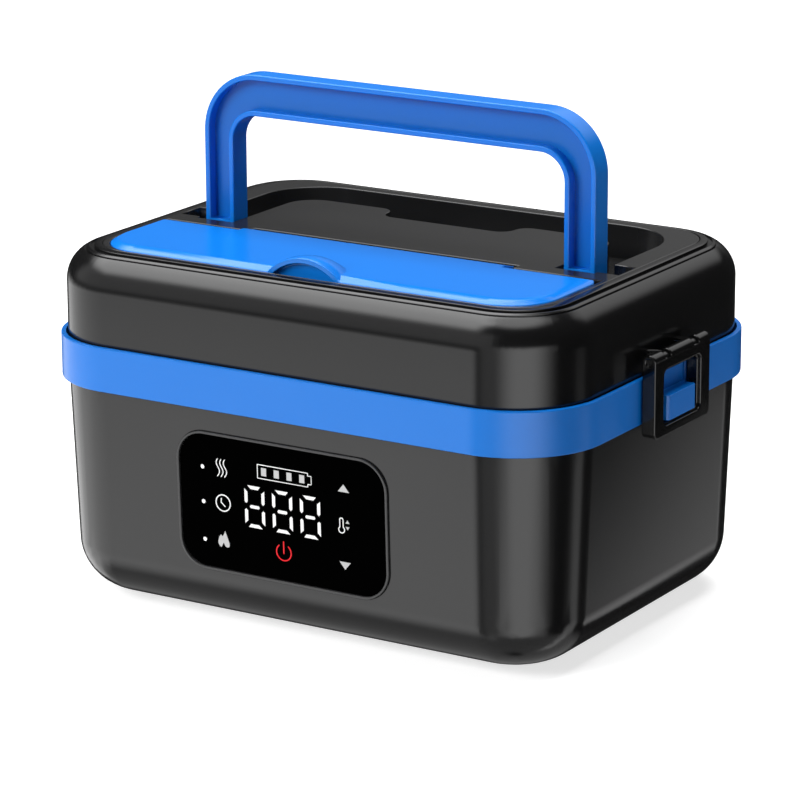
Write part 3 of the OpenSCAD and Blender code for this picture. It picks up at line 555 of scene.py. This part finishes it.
def strokes_tree():
    """Lines of even thickness with round ends that follow paths, repeated in a row."""
    group, given, out = geometry_group(
        "sign_strokes", ("Width", "NodeSocketFloat", 0.0006), ("Film", "NodeSocketFloat", 0.0001),
        ("Count", "NodeSocketInt", 1), ("Step", "NodeSocketVector", (0, 0, 0)))
    link = group.links.new
    line = add(group, "GeometryNodeMeshToCurve")
    link(given.outputs["Geometry"], line.inputs[0])
    level = add(group, "GeometryNodeSetCurveNormal", mode="Z_UP")
    link(line.outputs[0], level.inputs[0])
    profile = add(group, "GeometryNodeCurvePrimitiveQuadrilateral")
    link(given.outputs["Width"], profile.inputs["Width"])
    link(given.outputs["Film"], profile.inputs["Height"])
    stroke = add(group, "GeometryNodeCurveToMesh")
    stroke.inputs["Fill Caps"].default_value = True
    link(level.outputs[0], stroke.inputs["Curve"])
    link(profile.outputs[0], stroke.inputs["Profile Curve"])
    half = math_of(group, "MULTIPLY", given.outputs["Width"], 0.5)
    ends = add(group, "GeometryNodeInstanceOnPoints")
    tips = add(group, "GeometryNodeCurveEndpointSelection")
    link(line.outputs[0], ends.inputs["Points"])
    link(tips.outputs[0], ends.inputs["Selection"])
    link(disc(group, 20, half, given.outputs["Film"]), ends.inputs["Instance"])
    both = add(group, "GeometryNodeJoinGeometry")
    link(stroke.outputs[0], both.inputs[0])
    link(ends.outputs[0], both.inputs[0])
    copies = in_row(group, given, both.outputs[0])
    finish_tree(group, out, copies, given.outputs["Material"])
    return group


def lamps_tree():
    """A round lamp of a film's thickness on every point."""
    group, given, out = geometry_group(
        "sign_lamps", ("Radius", "NodeSocketFloat", 0.001), ("Film", "NodeSocketFloat", 0.0001))
    link = group.links.new
    lamp = disc(group, 32, given.outputs["Radius"], given.outputs["Film"])
    copies = add(group, "GeometryNodeInstanceOnPoints")
    link(given.outputs["Geometry"], copies.inputs["Points"])
    link(lamp, copies.inputs["Instance"])
    finish_tree(group, out, copies.outputs[0], given.outputs["Material"])
    return group


def through(tree, mesh, **values):
    """Runs a mesh through a Geometry Nodes tree and gives the plain mesh that comes out."""
    thing = link_object("working", mesh)
    modifier = thing.modifiers.new("nodes", "NODES")
    modifier.node_group = tree
    for socket in tree.interface.items_tree:
        if socket.in_out == "INPUT" and socket.name in values:
            modifier[socket.identifier] = values[socket.name]
    return plain_mesh(thing, "working")


def joined(name, meshes, place, material):
    """One object of several meshes, carried to its place."""
    shape = bmesh.new()
    for mesh in meshes:
        shape.from_mesh(mesh)
    mesh = to_mesh(shape, name)
    mesh.transform(place)
    mesh.materials.append(material)
    thing = link_object(name, mesh)
    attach(thing, "base")


# ---------------------------------------------------------------- steps


class LUNCHBOX_OT_case(bpy.types.Operator):
    """Rounds and dresses the case, its battery hatch, socket and feet"""

    bl_idname = "lunchbox.case"
    bl_label = "Case"

    def execute(self, context):
        looks, edges = context.scene.lunchbox_finish, context.scene.lunchbox_edges
        shell = plastic(
            "case_plastic", looks.shell, roughness=0.17, uneven=0.01, grain=looks.grain,
            depth=0.01)
        rounded(shell, edges.case, "base_shell", "battery_cover")
        rubber = plastic(
            "black_rubber", (0.018, 0.018, 0.019), roughness=0.7, uneven=0.05, grain=0.0008,
            depth=0.3)
        dress(rubber, "feet", "socket_plug")
        dress(plastic("socket_black", (0.03, 0.03, 0.032), roughness=0.5), "power_socket")
        dress(brushed_metal("screw_steel", (0.62, 0.63, 0.64), roughness=0.3), "cover_screws")
        return {"FINISHED"}


class LUNCHBOX_OT_collar(bpy.types.Operator):
    """Rounds and dresses the collar and its two catches"""

    bl_idname = "lunchbox.collar"
    bl_label = "Collar"

    def execute(self, context):
        looks, edges = context.scene.lunchbox_finish, context.scene.lunchbox_edges
        blue = plastic(
            "collar_plastic", looks.blue, roughness=0.26, uneven=0.015, grain=looks.grain,
            depth=0.012)
        rounded(blue, edges.collar, "collar", "catch_left", "catch_right")
        return {"FINISHED"}


class LUNCHBOX_OT_lid(bpy.types.Operator):
    """Rounds and dresses the lid, its deck and what the lid holds inside"""

    bl_idname = "lunchbox.lid"
    bl_label = "Lid"

    def execute(self, context):
        looks, edges = context.scene.lunchbox_finish, context.scene.lunchbox_edges
        shell = plastic(
            "lid_plastic", looks.shell, roughness=0.17, uneven=0.01, grain=looks.grain,
            depth=0.01)
        rounded(shell, edges.lid, "lid_shell", steps=2)
        deck = plastic(
            "deck_plastic", looks.deck, roughness=0.16, uneven=0.01, grain=looks.grain,
            depth=0.008)
        rounded(deck, edges.deck, "lid_deck", under=False)
        dress(plastic("inner_plastic", looks.shell, roughness=0.4), "inner_cover")
        dress(plastic("lid_silicone", (0.55, 0.56, 0.58), roughness=0.5), "lid_gasket")
        foam = plastic(
            "lid_foam", (0.7, 0.66, 0.56), roughness=0.9, uneven=0.02, grain=0.0015, depth=0.6)
        dress(foam, "lid_insulation")
        steel = brushed_metal("pin_steel", (0.62, 0.63, 0.64), roughness=0.3)
        dress(steel, "lid_screws", "handle_pins", "flap_pins")
        return {"FINISHED"}


class LUNCHBOX_OT_handle(bpy.types.Operator):
    """Rounds and dresses the folding handle, and paints shade on the floor of its channel"""

    bl_idname = "lunchbox.handle"
    bl_label = "Handle"
    WEB_RISE = mm(3.8)
    FORWARD = -0.999  # a face whose normal has this Y or less looks straight to the front

    def execute(self, context):
        looks, edges = context.scene.lunchbox_finish, context.scene.lunchbox_edges
        blue = plastic(
            "handle_plastic", looks.blue, roughness=0.22, uneven=0.015, grain=looks.grain,
            depth=0.012)
        rounded(blue, edges.handle, "handle")
        # the channel's floor takes a darker copy of the blue: painted shade
        painted_shade_web = plastic(
            "handle_web_painted_shade_plastic", looks.painted_shade_web, roughness=0.3, uneven=0.015, grain=looks.grain,
            depth=0.012)
        self.painted_shade_web(painted_shade_web)
        return {"FINISHED"}

    def painted_shade_web(self, material):
        """A floor in the handle's channel that stands further forward than the moulding's own, in
        a darker blue that paints the channel's shade.
        """
        shape = node_shape("handle")
        away = [face for face in shape.faces
                if face.normal.y > self.FORWARD or face.calc_center_median().y < 0]
        bmesh.ops.delete(shape, geom=away, context="FACES")
        front = bmesh.ops.extrude_face_region(shape, geom=shape.faces[:])["geom"]
        moved = [part for part in front if isinstance(part, bmesh.types.BMVert)]
        bmesh.ops.translate(shape, vec=(0, -self.WEB_RISE, 0), verts=moved)
        bmesh.ops.recalc_face_normals(shape, faces=shape.faces)
        mesh = to_mesh(shape)
        mesh.materials.append(material)
        thing = link_object("handle_web", mesh)
        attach(thing, "handle")


class LUNCHBOX_OT_flap(bpy.types.Operator):
    """Rounds and dresses the flap with its finger pull"""

    bl_idname = "lunchbox.flap"
    bl_label = "Flap"

    def execute(self, context):
        looks, edges = context.scene.lunchbox_finish, context.scene.lunchbox_edges
        blue = plastic(
            "flap_plastic", looks.blue, roughness=0.22, uneven=0.015, grain=looks.grain,
            depth=0.012)
        rounded(blue, edges.flap, "flap")
        self.pull(blue)
        return {"FINISHED"}

    def pull(self, material):
        """The hollow back wall of the finger pull, under the dome."""
        low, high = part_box("flap")
        dome, reach = mm(20.9), mm(10.5)  # radius of the wall, and height at which it starts
        wall, bulge, sink = mm(5), mm(2.2), mm(0.6)  # depths, from the dome's centre
        inward, drop = mm(3), mm(23)  # place of that centre, from the flap's front and top
        centre = Vector((0, low.y + inward, high.z - drop))
        half = math.sqrt(dome ** 2 - reach ** 2)
        columns, rows = 32, 8
        shape = bmesh.new()
        layers = []
        for back in (False, True):
            layer = []
            for i in range(columns + 1):
                x = half * math.sin(math.pi * (i / columns - 0.5))
                top = math.sqrt(dome ** 2 - x ** 2)
                line = []
                for j in range(rows + 1):
                    z = reach + (top - reach) * j / rows
                    share = (x * x + z * z) / dome ** 2
                    y = wall if back else bulge * (1 - share) - sink
                    narrow = math.sqrt(1 - (y / dome) ** 2) if back else 1
                    line.append(shape.verts.new(centre + Vector((x * narrow, y, z * narrow))))
                layer.append(line)
            layers.append(layer)
        for layer in layers:
            for this, after in zip(layer, layer[1:]):
                for j in range(rows):
                    shape.faces.new((this[j], after[j], after[j + 1], this[j + 1]))
        front, back = layers
        for i in range(columns):
            for j in (0, rows):
                shape.faces.new((front[i][j], front[i + 1][j], back[i + 1][j], back[i][j]))
        bmesh.ops.remove_doubles(shape, verts=shape.verts, dist=mm(0.01))
        bmesh.ops.holes_fill(shape, edges=shape.edges)
        bmesh.ops.recalc_face_normals(shape, faces=shape.faces)
        for face in shape.faces:
            face.smooth = abs(face.normal.y) > 0.7
        mesh = to_mesh(shape)
        mesh.materials.append(material)
        thing = link_object("flap_pull", mesh)
        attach(thing, "flap")


class LUNCHBOX_OT_latches(bpy.types.Operator):
    """Rounds and dresses the two latches and their pins"""

    bl_idname = "lunchbox.latches"
    bl_label = "Latches"

    def execute(self, context):
        looks, edges = context.scene.lunchbox_finish, context.scene.lunchbox_edges
        black = plastic(
            "latch_plastic", looks.latch, roughness=0.12, uneven=0.01, grain=looks.grain,
            depth=0.008)
        rounded(black, edges.latch, "latch_left", "latch_right")
        dress(black, "latch_pins")
        return {"FINISHED"}


class LUNCHBOX_OT_panel(bpy.types.Operator):
    """Makes the control panel: its frame, its glass and the signs on the glass"""

    bl_idname = "lunchbox.panel"
    bl_label = "Control panel"

    def execute(self, context):
        edges, panel = context.scene.lunchbox_edges, context.scene.lunchbox_panel
        bezel = plastic("panel_frame", (0.03, 0.03, 0.031), roughness=0.2)
        rounded(bezel, edges.panel, "display_bezel")
        glass = plastic(
            "panel_glass", (0.0002, 0.0002, 0.0002), roughness=0.1, uneven=0.01, grain=0.002,
            depth=0.0, specular=0.002)
        rounded(glass, edges.panel, "display_glass")
        dress(plastic("panel_board", (0.02, 0.17, 0.08), roughness=0.4), "display_board")
        dress(plastic("digit_block", (0.03, 0.03, 0.032), roughness=0.5), "digit_module")
        lit = light_print("panel_lit", panel.lit, glow=0.25)
        # the grey signs are printed, and their glow is painted light that brightens them whatever
        # the lamps give
        grey = light_print("panel_grey_painted_glow", panel.printed, glow=0.12)
        red = light_print("panel_red", panel.power, glow=0.25)
        plates, strokes, lamps = plates_tree(), strokes_tree(), lamps_tree()
        place = self.place(panel)
        film = panel.film

        def plate(material, *outlines, count=1, step=0.0):
            """Flat signs of the film's thickness."""
            return through(
                plates, flat_plate(*outlines), Film=film, Count=count, Step=(step, 0, 0),
                Material=material)

        def stroke(material, width, *lines, count=1, step=0.0):
            """Signs drawn with a line."""
            return through(
                strokes, paths(*lines), Width=width, Film=2 * film, Count=count,
                Step=(step, 0, 0), Material=material)

        digits = plate(lit, *self.digit(panel), count=3, step=panel.digit_pitch)
        joined("panel_digits", [digits], place, lit)
        white = [
            through(lamps, points(*LAMP_SPOTS), Radius=mm(LAMP_RADIUS), Film=2 * film,
                    Material=lit),
            stroke(lit, STEAM_WIDTH * panel.stroke, self.wave(), count=3, step=mm(STEAM_PITCH)),
            stroke(lit, panel.stroke, arc(CLOCK_CENTRE, CLOCK_RADIUS, 0, 360), CLOCK_HANDS),
            stroke(lit, mm(BATTERY_LINE), self.battery()),
            stroke(lit, mm(TUBE_LINE), self.thermometer())]
        joined("panel_white_signs", white, place, lit)
        printed = [
            plate(grey, CHARGE_BAR, count=CHARGE_COUNT, step=mm(CHARGE_PITCH)),
            plate(grey, FLAME), plate(grey, *ARROWS)]
        joined("panel_grey_signs", printed, place, grey)
        ring = arc(POWER_CENTRE, POWER_RADIUS, POWER_GAP, 360 - POWER_GAP)
        power = stroke(red, mm(POWER_LINE), ring, POWER_BAR)
        joined("panel_power_sign", [power], place, red)
        return {"FINISHED"}

    def place(self, panel):
        """Carries what is drawn flat to the front of the leaning glass."""
        front = min((v.co for v in NODES["display_glass"].data.vertices), key=lambda co: co.y)
        lean = panel.lean
        foot = Vector((0, front.y + front.z * math.tan(lean), 0))
        across = Vector((1, 0, 0))
        up = Vector((0, -math.sin(lean), math.cos(lean)))
        out = across.cross(up)
        return Matrix.Translation(foot) @ Matrix((across, up, out)).transposed().to_4x4()

    def digit(self, panel):
        """Outlines of the seven segments of the first digit, at the left."""
        w, h = panel.digit_width / mm(2), panel.digit_height / mm(2)
        t = panel.segment / mm(1)

        def mirrored(outline):
            """The outline on the digit's other side."""
            return [(-a, b) for a, b in reversed(outline)]

        top = [(-w + 1.5, h), (w - 1.9, h), (w - 3.0, h - t), (-w + 3.0, h - t)]
        side = [(-w, h - 1.5), (-w + t, h - 2.7), (-w + t, 1.9), (-w + 0.7, 1.15), (-w, 1.9)]
        middle = [(-w + 2.4, 0.1), (-w + 2.8, 0.65), (w - 2.8, 0.65), (w - 2.4, 0.1),
                  (w - 2.4, -0.2), (w - 2.8, -0.65), (-w + 2.8, -0.65), (-w + 2.4, -0.2)]
        lower = [(-w, -1.6), (-w + 0.7, -1.1), (-w + t, -1.8), (-w + t, -h + 2.7),
                 (-w, -h + 1.45)]
        bottom = [(-w + 2.6, -h + t), (w - 2.9, -h + t), (w - 1.3, -h), (-w + 1.6, -h)]
        outlines = [top, side, mirrored(side), middle, lower, mirrored(lower), bottom]
        x, y = DIGIT_CENTRE
        return [[(x + a, y + b) for a, b in outline] for outline in outlines]

    def wave(self):
        """One rising wave of the steam sign."""
        x, y = STEAM_TOP
        steps = 28
        line = []
        for i in range(steps + 1):
            t = i / steps
            swing = STEAM_SWING * math.sin(2 * math.pi * t * STEAM_TURNS + STEAM_START)
            line.append((x - swing + STEAM_DRIFT * (0.5 - t), y - STEAM_HEIGHT * t))
        return line

    def battery(self):
        """The battery's outline. Points close to its corners keep its line as wide there."""
        line = []
        for before, corner, after in zip(
                BATTERY[-1:] + BATTERY[:-1], BATTERY, BATTERY[1:] + BATTERY[:1]):
            for other in (before, after):
                way = Vector(other) - Vector(corner)
                line.append(tuple(Vector(corner) + way.normalized() * BATTERY_CORNER))
        return line + line[:1]

    def thermometer(self):
        """The outline of the thermometer: a tube over a bulb."""
        ring = arc(BULB_CENTRE, BULB_RADIUS, BULB_GAP, 360 - BULB_GAP, 32)
        tube = arc(TUBE_CENTRE, TUBE_RADIUS, 270, 450, 16)
        return ring + tube + ring[:1]


class LUNCHBOX_OT_container(bpy.types.Operator):
    """Dresses the food container, its cover, gasket and steam vent"""

    bl_idname = "lunchbox.container"
    bl_label = "Food container"

    def execute(self, context):
        steel = brushed_metal("container_steel", (0.62, 0.63, 0.64), roughness=0.26)
        dress(steel, "food_container")
        dress(plastic("cover_plastic", (0.26, 0.28, 0.3), roughness=0.45), "container_cover")
        silicone = plastic("cover_silicone", (0.55, 0.56, 0.58), roughness=0.5)
        dress(silicone, "cover_gasket", "steam_vent")
        return {"FINISHED"}


class LUNCHBOX_OT_heater(bpy.types.Operator):
    """Dresses the liner, the heater under it and the insulation"""

    bl_idname = "lunchbox.heater"
    bl_label = "Heater"

    def execute(self, context):
        liner = brushed_metal("liner_aluminium", (0.62, 0.63, 0.65), roughness=0.36)
        dress(liner, "inner_liner", "heater_plate")
        copper = brushed_metal("heater_copper", (0.6, 0.25, 0.13), roughness=0.35)
        dress(copper, "heater_element")
        dress(plastic("thermistor_black", (0.03, 0.03, 0.032), roughness=0.5), "thermistor")
        foam = plastic(
            "case_foam", (0.7, 0.66, 0.56), roughness=0.9, uneven=0.02, grain=0.0015, depth=0.6)
        dress(foam, "insulation_pad")
        return {"FINISHED"}


class LUNCHBOX_OT_electrics(bpy.types.Operator):
    """Dresses the battery and the main board"""

    bl_idname = "lunchbox.electrics"
    bl_label = "Battery and board"

    def execute(self, context):
        wrap = plastic(
            "cell_wrap", (0.04, 0.26, 0.14), roughness=0.35, uneven=0.03, grain=0.0012,
            depth=0.05)
        dress(wrap, "battery_cells")
        dress(plastic("holder_black", (0.03, 0.03, 0.032), roughness=0.55), "battery_holder")
        dress(plastic("board_green", (0.02, 0.17, 0.08), roughness=0.4), "main_board")
        dress(plastic("chip_black", (0.03, 0.03, 0.032), roughness=0.5), "board_parts")
        return {"FINISHED"}


# ---------------------------------------------------------------- studio


def softbox_group():
    """A soft patch of light in the world: its direction, size, soft edge and strength."""
    group, given, out = new_group(
        "softbox", "ShaderNodeTree",
        [("Azimuth", "NodeSocketFloat", 0.0), ("Elevation", "NodeSocketFloat", 0.0),
         ("Half width", "NodeSocketFloat", 20.0), ("Half height", "NodeSocketFloat", 20.0),
         ("Edge", "NodeSocketFloat", 6.0), ("Fade", "NodeSocketFloat", 6.0),
         ("Strength", "NodeSocketFloat", 1.0)],
        [("Level", "NodeSocketFloat")])
    link = group.links.new

    def of(operation, *values):
        """A Math node of this group."""
        return math_of(group, operation, *values)

    way = add(group, "ShaderNodeTexCoord")
    split = add(group, "ShaderNodeSeparateXYZ")
    link(way.outputs["Generated"], split.inputs[0])
    degrees = 180 / math.pi
    turn = of("ARCTAN2", split.outputs["X"], of("MULTIPLY", split.outputs["Y"], -1))
    turn = of("SUBTRACT", of("MULTIPLY", turn, degrees), given.outputs["Azimuth"])
    turn = of("WRAP", turn, 180, -180)
    lift = of("MULTIPLY", of("ARCSINE", split.outputs["Z"]), degrees)
    lift = of("SUBTRACT", lift, given.outputs["Elevation"])
    levels = []
    for offset, size, edge in ((turn, "Half width", "Edge"), (lift, "Half height", "Fade")):
        half, soft = given.outputs[size], given.outputs[edge]
        fade = add(group, "ShaderNodeMapRange", interpolation_type="SMOOTHSTEP")
        link(of("ABSOLUTE", offset), fade.inputs["Value"])
        link(of("ADD", half, soft), fade.inputs["From Max"])
        link(of("SUBTRACT", half, soft), fade.inputs["From Min"])
        fade.inputs["To Min"].default_value = 1
        fade.inputs["To Max"].default_value = 0
        levels.append(fade.outputs["Result"])
    link(of("MULTIPLY", of("MULTIPLY", *levels), given.outputs["Strength"]), out.inputs["Level"])
    return group


class LUNCHBOX_OT_stage(bpy.types.Operator):
    """Sets the pale floor, the lamps, the world and the camera"""

    bl_idname = "lunchbox.stage"
    bl_label = "Studio"

    # soft patches of light seen in the gloss, in degrees: azimuth (0 in front, positive to the
    # right), elevation, half width, half height, soft edge beside and above, and strength
    SOFTBOXES = (
        (-72, -26, 49, 14, 4, 9, 1.9),
        (-8, -25, 8, 25, 6, 6, 0.5),
        (40, -18, 28, 24, 20, 5, 2.4),
        (-45, 20, 45, 20, 10, 8, 0.55),
        (0, -62, 200, 22, 4, 6, 0.4),
        (121, -44, 8, 25, 4, 6, 1.1),
        (-95, 55, 60, 15, 15, 8, 4.3),
        (0, 85, 200, 18, 4, 10, 3),
        (180, 33, 28, 10, 10, 6, 0.9),
        (-160, 14, 12, 8, 14, 8, 0.24),
    )
    GLOSS_BASE, SOFT_LIGHT = 0.02, 0.16  # light from all sides, in the gloss and on surfaces
    FLOOR_SIDE, FLOOR_GREY, FLOOR_GLOW = 6.0, 0.55, 0.7  # half a side in metres
    CARD_X, CARD_Y, CARD_Z = (0.25, 0.41), 0.45, (-0.28, -0.04)  # metres
    CARD_SLOPE, CARD_LEVEL = (-7.3, 0, -3.2), 2.45  # its light's change by the metre, and start
    LAMP_AIM = (0, 0, 0.09)
    SENSOR, CLIP_END = 36, 20

    def execute(self, context):
        scene = context.scene
        self.floor()
        self.card()
        self.lamp("key", place=(-0.9, -1.5, 1.1), size=(1.2, 1.0), power=39)
        self.lamp("overhead", place=(0.0, 0.3, 1.8), size=(1.4, 1.2), power=44)
        self.world(scene)
        self.camera(scene, scene.lunchbox_studio)
        scene.view_settings.view_transform = "Standard"
        return {"FINISHED"}

    def floor(self):
        """A floor that takes the shadow, looks white and isn't mirrored in the gloss."""
        mesh = bpy.data.meshes.new("floor")
        side = self.FLOOR_SIDE
        mesh.from_pydata(
            [(-side, -side, 0), (side, -side, 0), (side, side, 0), (-side, side, 0)],
            [], [(0, 1, 2, 3)])
        link_object("floor", mesh)
        material, tree, out = empty_material("floor_white")
        link = tree.links.new
        paper = add(tree, "ShaderNodeBsdfDiffuse")
        paper.inputs["Color"].default_value = (*[self.FLOOR_GREY] * 3, 1)
        glow = add(tree, "ShaderNodeEmission")
        glow.inputs["Strength"].default_value = self.FLOOR_GLOW
        both = add(tree, "ShaderNodeAddShader")
        link(paper.outputs[0], both.inputs[0])
        link(glow.outputs[0], both.inputs[1])
        path = add(tree, "ShaderNodeLightPath")
        clear = add(tree, "ShaderNodeBsdfTransparent")
        seen = mixed(tree, path.outputs["Is Camera Ray"], paper.outputs[0], both.outputs[0])
        last = mixed(tree, path.outputs["Is Glossy Ray"], seen, clear.outputs[0])
        link(last, out.inputs["Surface"])
        mesh.materials.append(material)

    def card(self):
        """A lit card behind the box that only its gloss sees.

        It lifts the far lower end of the right wall.
        """
        (left, right), y, (low, high) = self.CARD_X, self.CARD_Y, self.CARD_Z
        mesh = bpy.data.meshes.new("card")
        mesh.from_pydata(
            [(left, y, low), (right, y, low), (right, y, high), (left, y, high)],
            [], [(0, 1, 2, 3)])
        thing = link_object("card", mesh)
        for ray in ("camera", "diffuse", "transmission", "volume_scatter", "shadow"):
            setattr(thing, "visible_" + ray, False)
        material, tree, out = empty_material("card_light")
        material.cycles.emission_sampling = "NONE"
        link = tree.links.new
        place = add(tree, "ShaderNodeTexCoord")
        slope = add(tree, "ShaderNodeVectorMath", operation="DOT_PRODUCT")
        slope.inputs[1].default_value = self.CARD_SLOPE
        level = add(tree, "ShaderNodeMath", operation="ADD", use_clamp=True)
        level.inputs[1].default_value = self.CARD_LEVEL
        light = add(tree, "ShaderNodeEmission")
        link(place.outputs["Object"], slope.inputs[0])
        link(slope.outputs["Value"], level.inputs[0])
        link(level.outputs[0], light.inputs["Strength"])
        link(light.outputs[0], out.inputs["Surface"])
        mesh.materials.append(material)

    def lamp(self, name, place, size, power):
        """A soft lamp that isn't mirrored in the gloss."""
        light = bpy.data.lights.new(name, "AREA")
        light.shape = "RECTANGLE"
        light.size, light.size_y = size
        light.energy = power
        thing = link_object(name, light)
        thing.location = place
        way = Vector(self.LAMP_AIM) - Vector(place)
        thing.rotation_euler = way.to_track_quat("-Z", "Y").to_euler()
        thing.visible_glossy = False

    def background(self, tree, strength=1):
        """White light from the world."""
        node = add(tree, "ShaderNodeBackground")
        node.inputs["Color"].default_value = (1, 1, 1, 1)
        node.inputs["Strength"].default_value = strength
        return node

    def world(self, scene):
        """Patches of light for the gloss, even light for surfaces, white for the camera."""
        scene.world = world = bpy.data.worlds.new("studio")
        world.use_nodes = True
        tree = world.node_tree
        tree.nodes.clear()
        link = tree.links.new
        group = softbox_group()
        levels = []
        for values in self.SOFTBOXES:
            box = add(tree, "ShaderNodeGroup", node_tree=group)
            for socket, value in zip(box.inputs, values):
                socket.default_value = value
            levels.append(box.outputs[0])
        level = levels[0]
        for other in (*levels[1:], self.GLOSS_BASE):
            level = math_of(tree, "ADD", level, other)
        studio = self.background(tree)
        link(level, studio.inputs["Strength"])
        plain, white = self.background(tree, self.SOFT_LIGHT), self.background(tree)
        path = add(tree, "ShaderNodeLightPath")
        first = mixed(tree, path.outputs["Is Glossy Ray"], plain.outputs[0], studio.outputs[0])
        last = mixed(tree, path.outputs["Is Camera Ray"], first, white.outputs[0])
        link(last, add(tree, "ShaderNodeOutputWorld").inputs["Surface"])

    def camera(self, scene, studio):
        """A camera that looks at its target from the settings' direction and distance."""
        turn, lift, roll = studio.azimuth, studio.elevation, studio.roll
        level = Vector((math.cos(turn), math.sin(turn), 0))
        back = Vector((
            math.sin(turn) * math.cos(lift), -math.cos(turn) * math.cos(lift), math.sin(lift)))
        rise = back.cross(level)
        right = level * math.cos(roll) + rise * math.sin(roll)
        up = rise * math.cos(roll) - level * math.sin(roll)
        lens = bpy.data.cameras.new("camera")
        lens.sensor_width = self.SENSOR
        lens.lens = studio.lens
        lens.clip_end = self.CLIP_END
        thing = link_object("camera", lens)
        thing.matrix_world = Matrix((right, up, back)).transposed().to_4x4()
        thing.matrix_world.translation = Vector(studio.target) + back * studio.distance
        scene.camera = thing


# ---------------------------------------------------------------- add-on


class LUNCHBOX_PT_steps(bpy.types.Panel):
    """Lists the steps that make and dress the lunch box"""

    bl_idname = "LUNCHBOX_PT_steps"
    bl_label = "Lunch Box"
    bl_space_type = "VIEW_3D"
    bl_region_type = "UI"
    bl_category = "Lunch Box"

    def draw(self, context):
        for step in STEPS:
            self.layout.operator(step.bl_idname)
        for name, group in GROUPS.items():
            box = self.layout.box()
            for setting in group.__annotations__:
                box.prop(getattr(context.scene, name), setting)


STEPS = (
    LUNCHBOX_OT_case, LUNCHBOX_OT_collar, LUNCHBOX_OT_lid, LUNCHBOX_OT_handle,
    LUNCHBOX_OT_flap, LUNCHBOX_OT_latches, LUNCHBOX_OT_panel, LUNCHBOX_OT_container,
    LUNCHBOX_OT_heater, LUNCHBOX_OT_electrics, LUNCHBOX_OT_stage)
GROUPS = {
    "lunchbox_finish": FinishSettings, "lunchbox_edges": EdgeSettings,
    "lunchbox_panel": PanelSettings, "lunchbox_studio": StudioSettings}


def register():
    """Adds the classes and the scene's settings."""
    for cls in (*GROUPS.values(), *STEPS, LUNCHBOX_PT_steps):
        bpy.utils.register_class(cls)
    for name, group in GROUPS.items():
        setattr(bpy.types.Scene, name, bpy.props.PointerProperty(type=group))


def unregister():
    """Takes the settings and the classes away again."""
    for name in GROUPS:
        delattr(bpy.types.Scene, name)
    for cls in reversed((*GROUPS.values(), *STEPS, LUNCHBOX_PT_steps)):
        bpy.utils.unregister_class(cls)


def main():
    """Runs every step in order."""
    register()
    for step in STEPS:
        area, name = step.bl_idname.split(".")
        getattr(getattr(bpy.ops, area), name)()


if __name__ == "__main__":
    main()
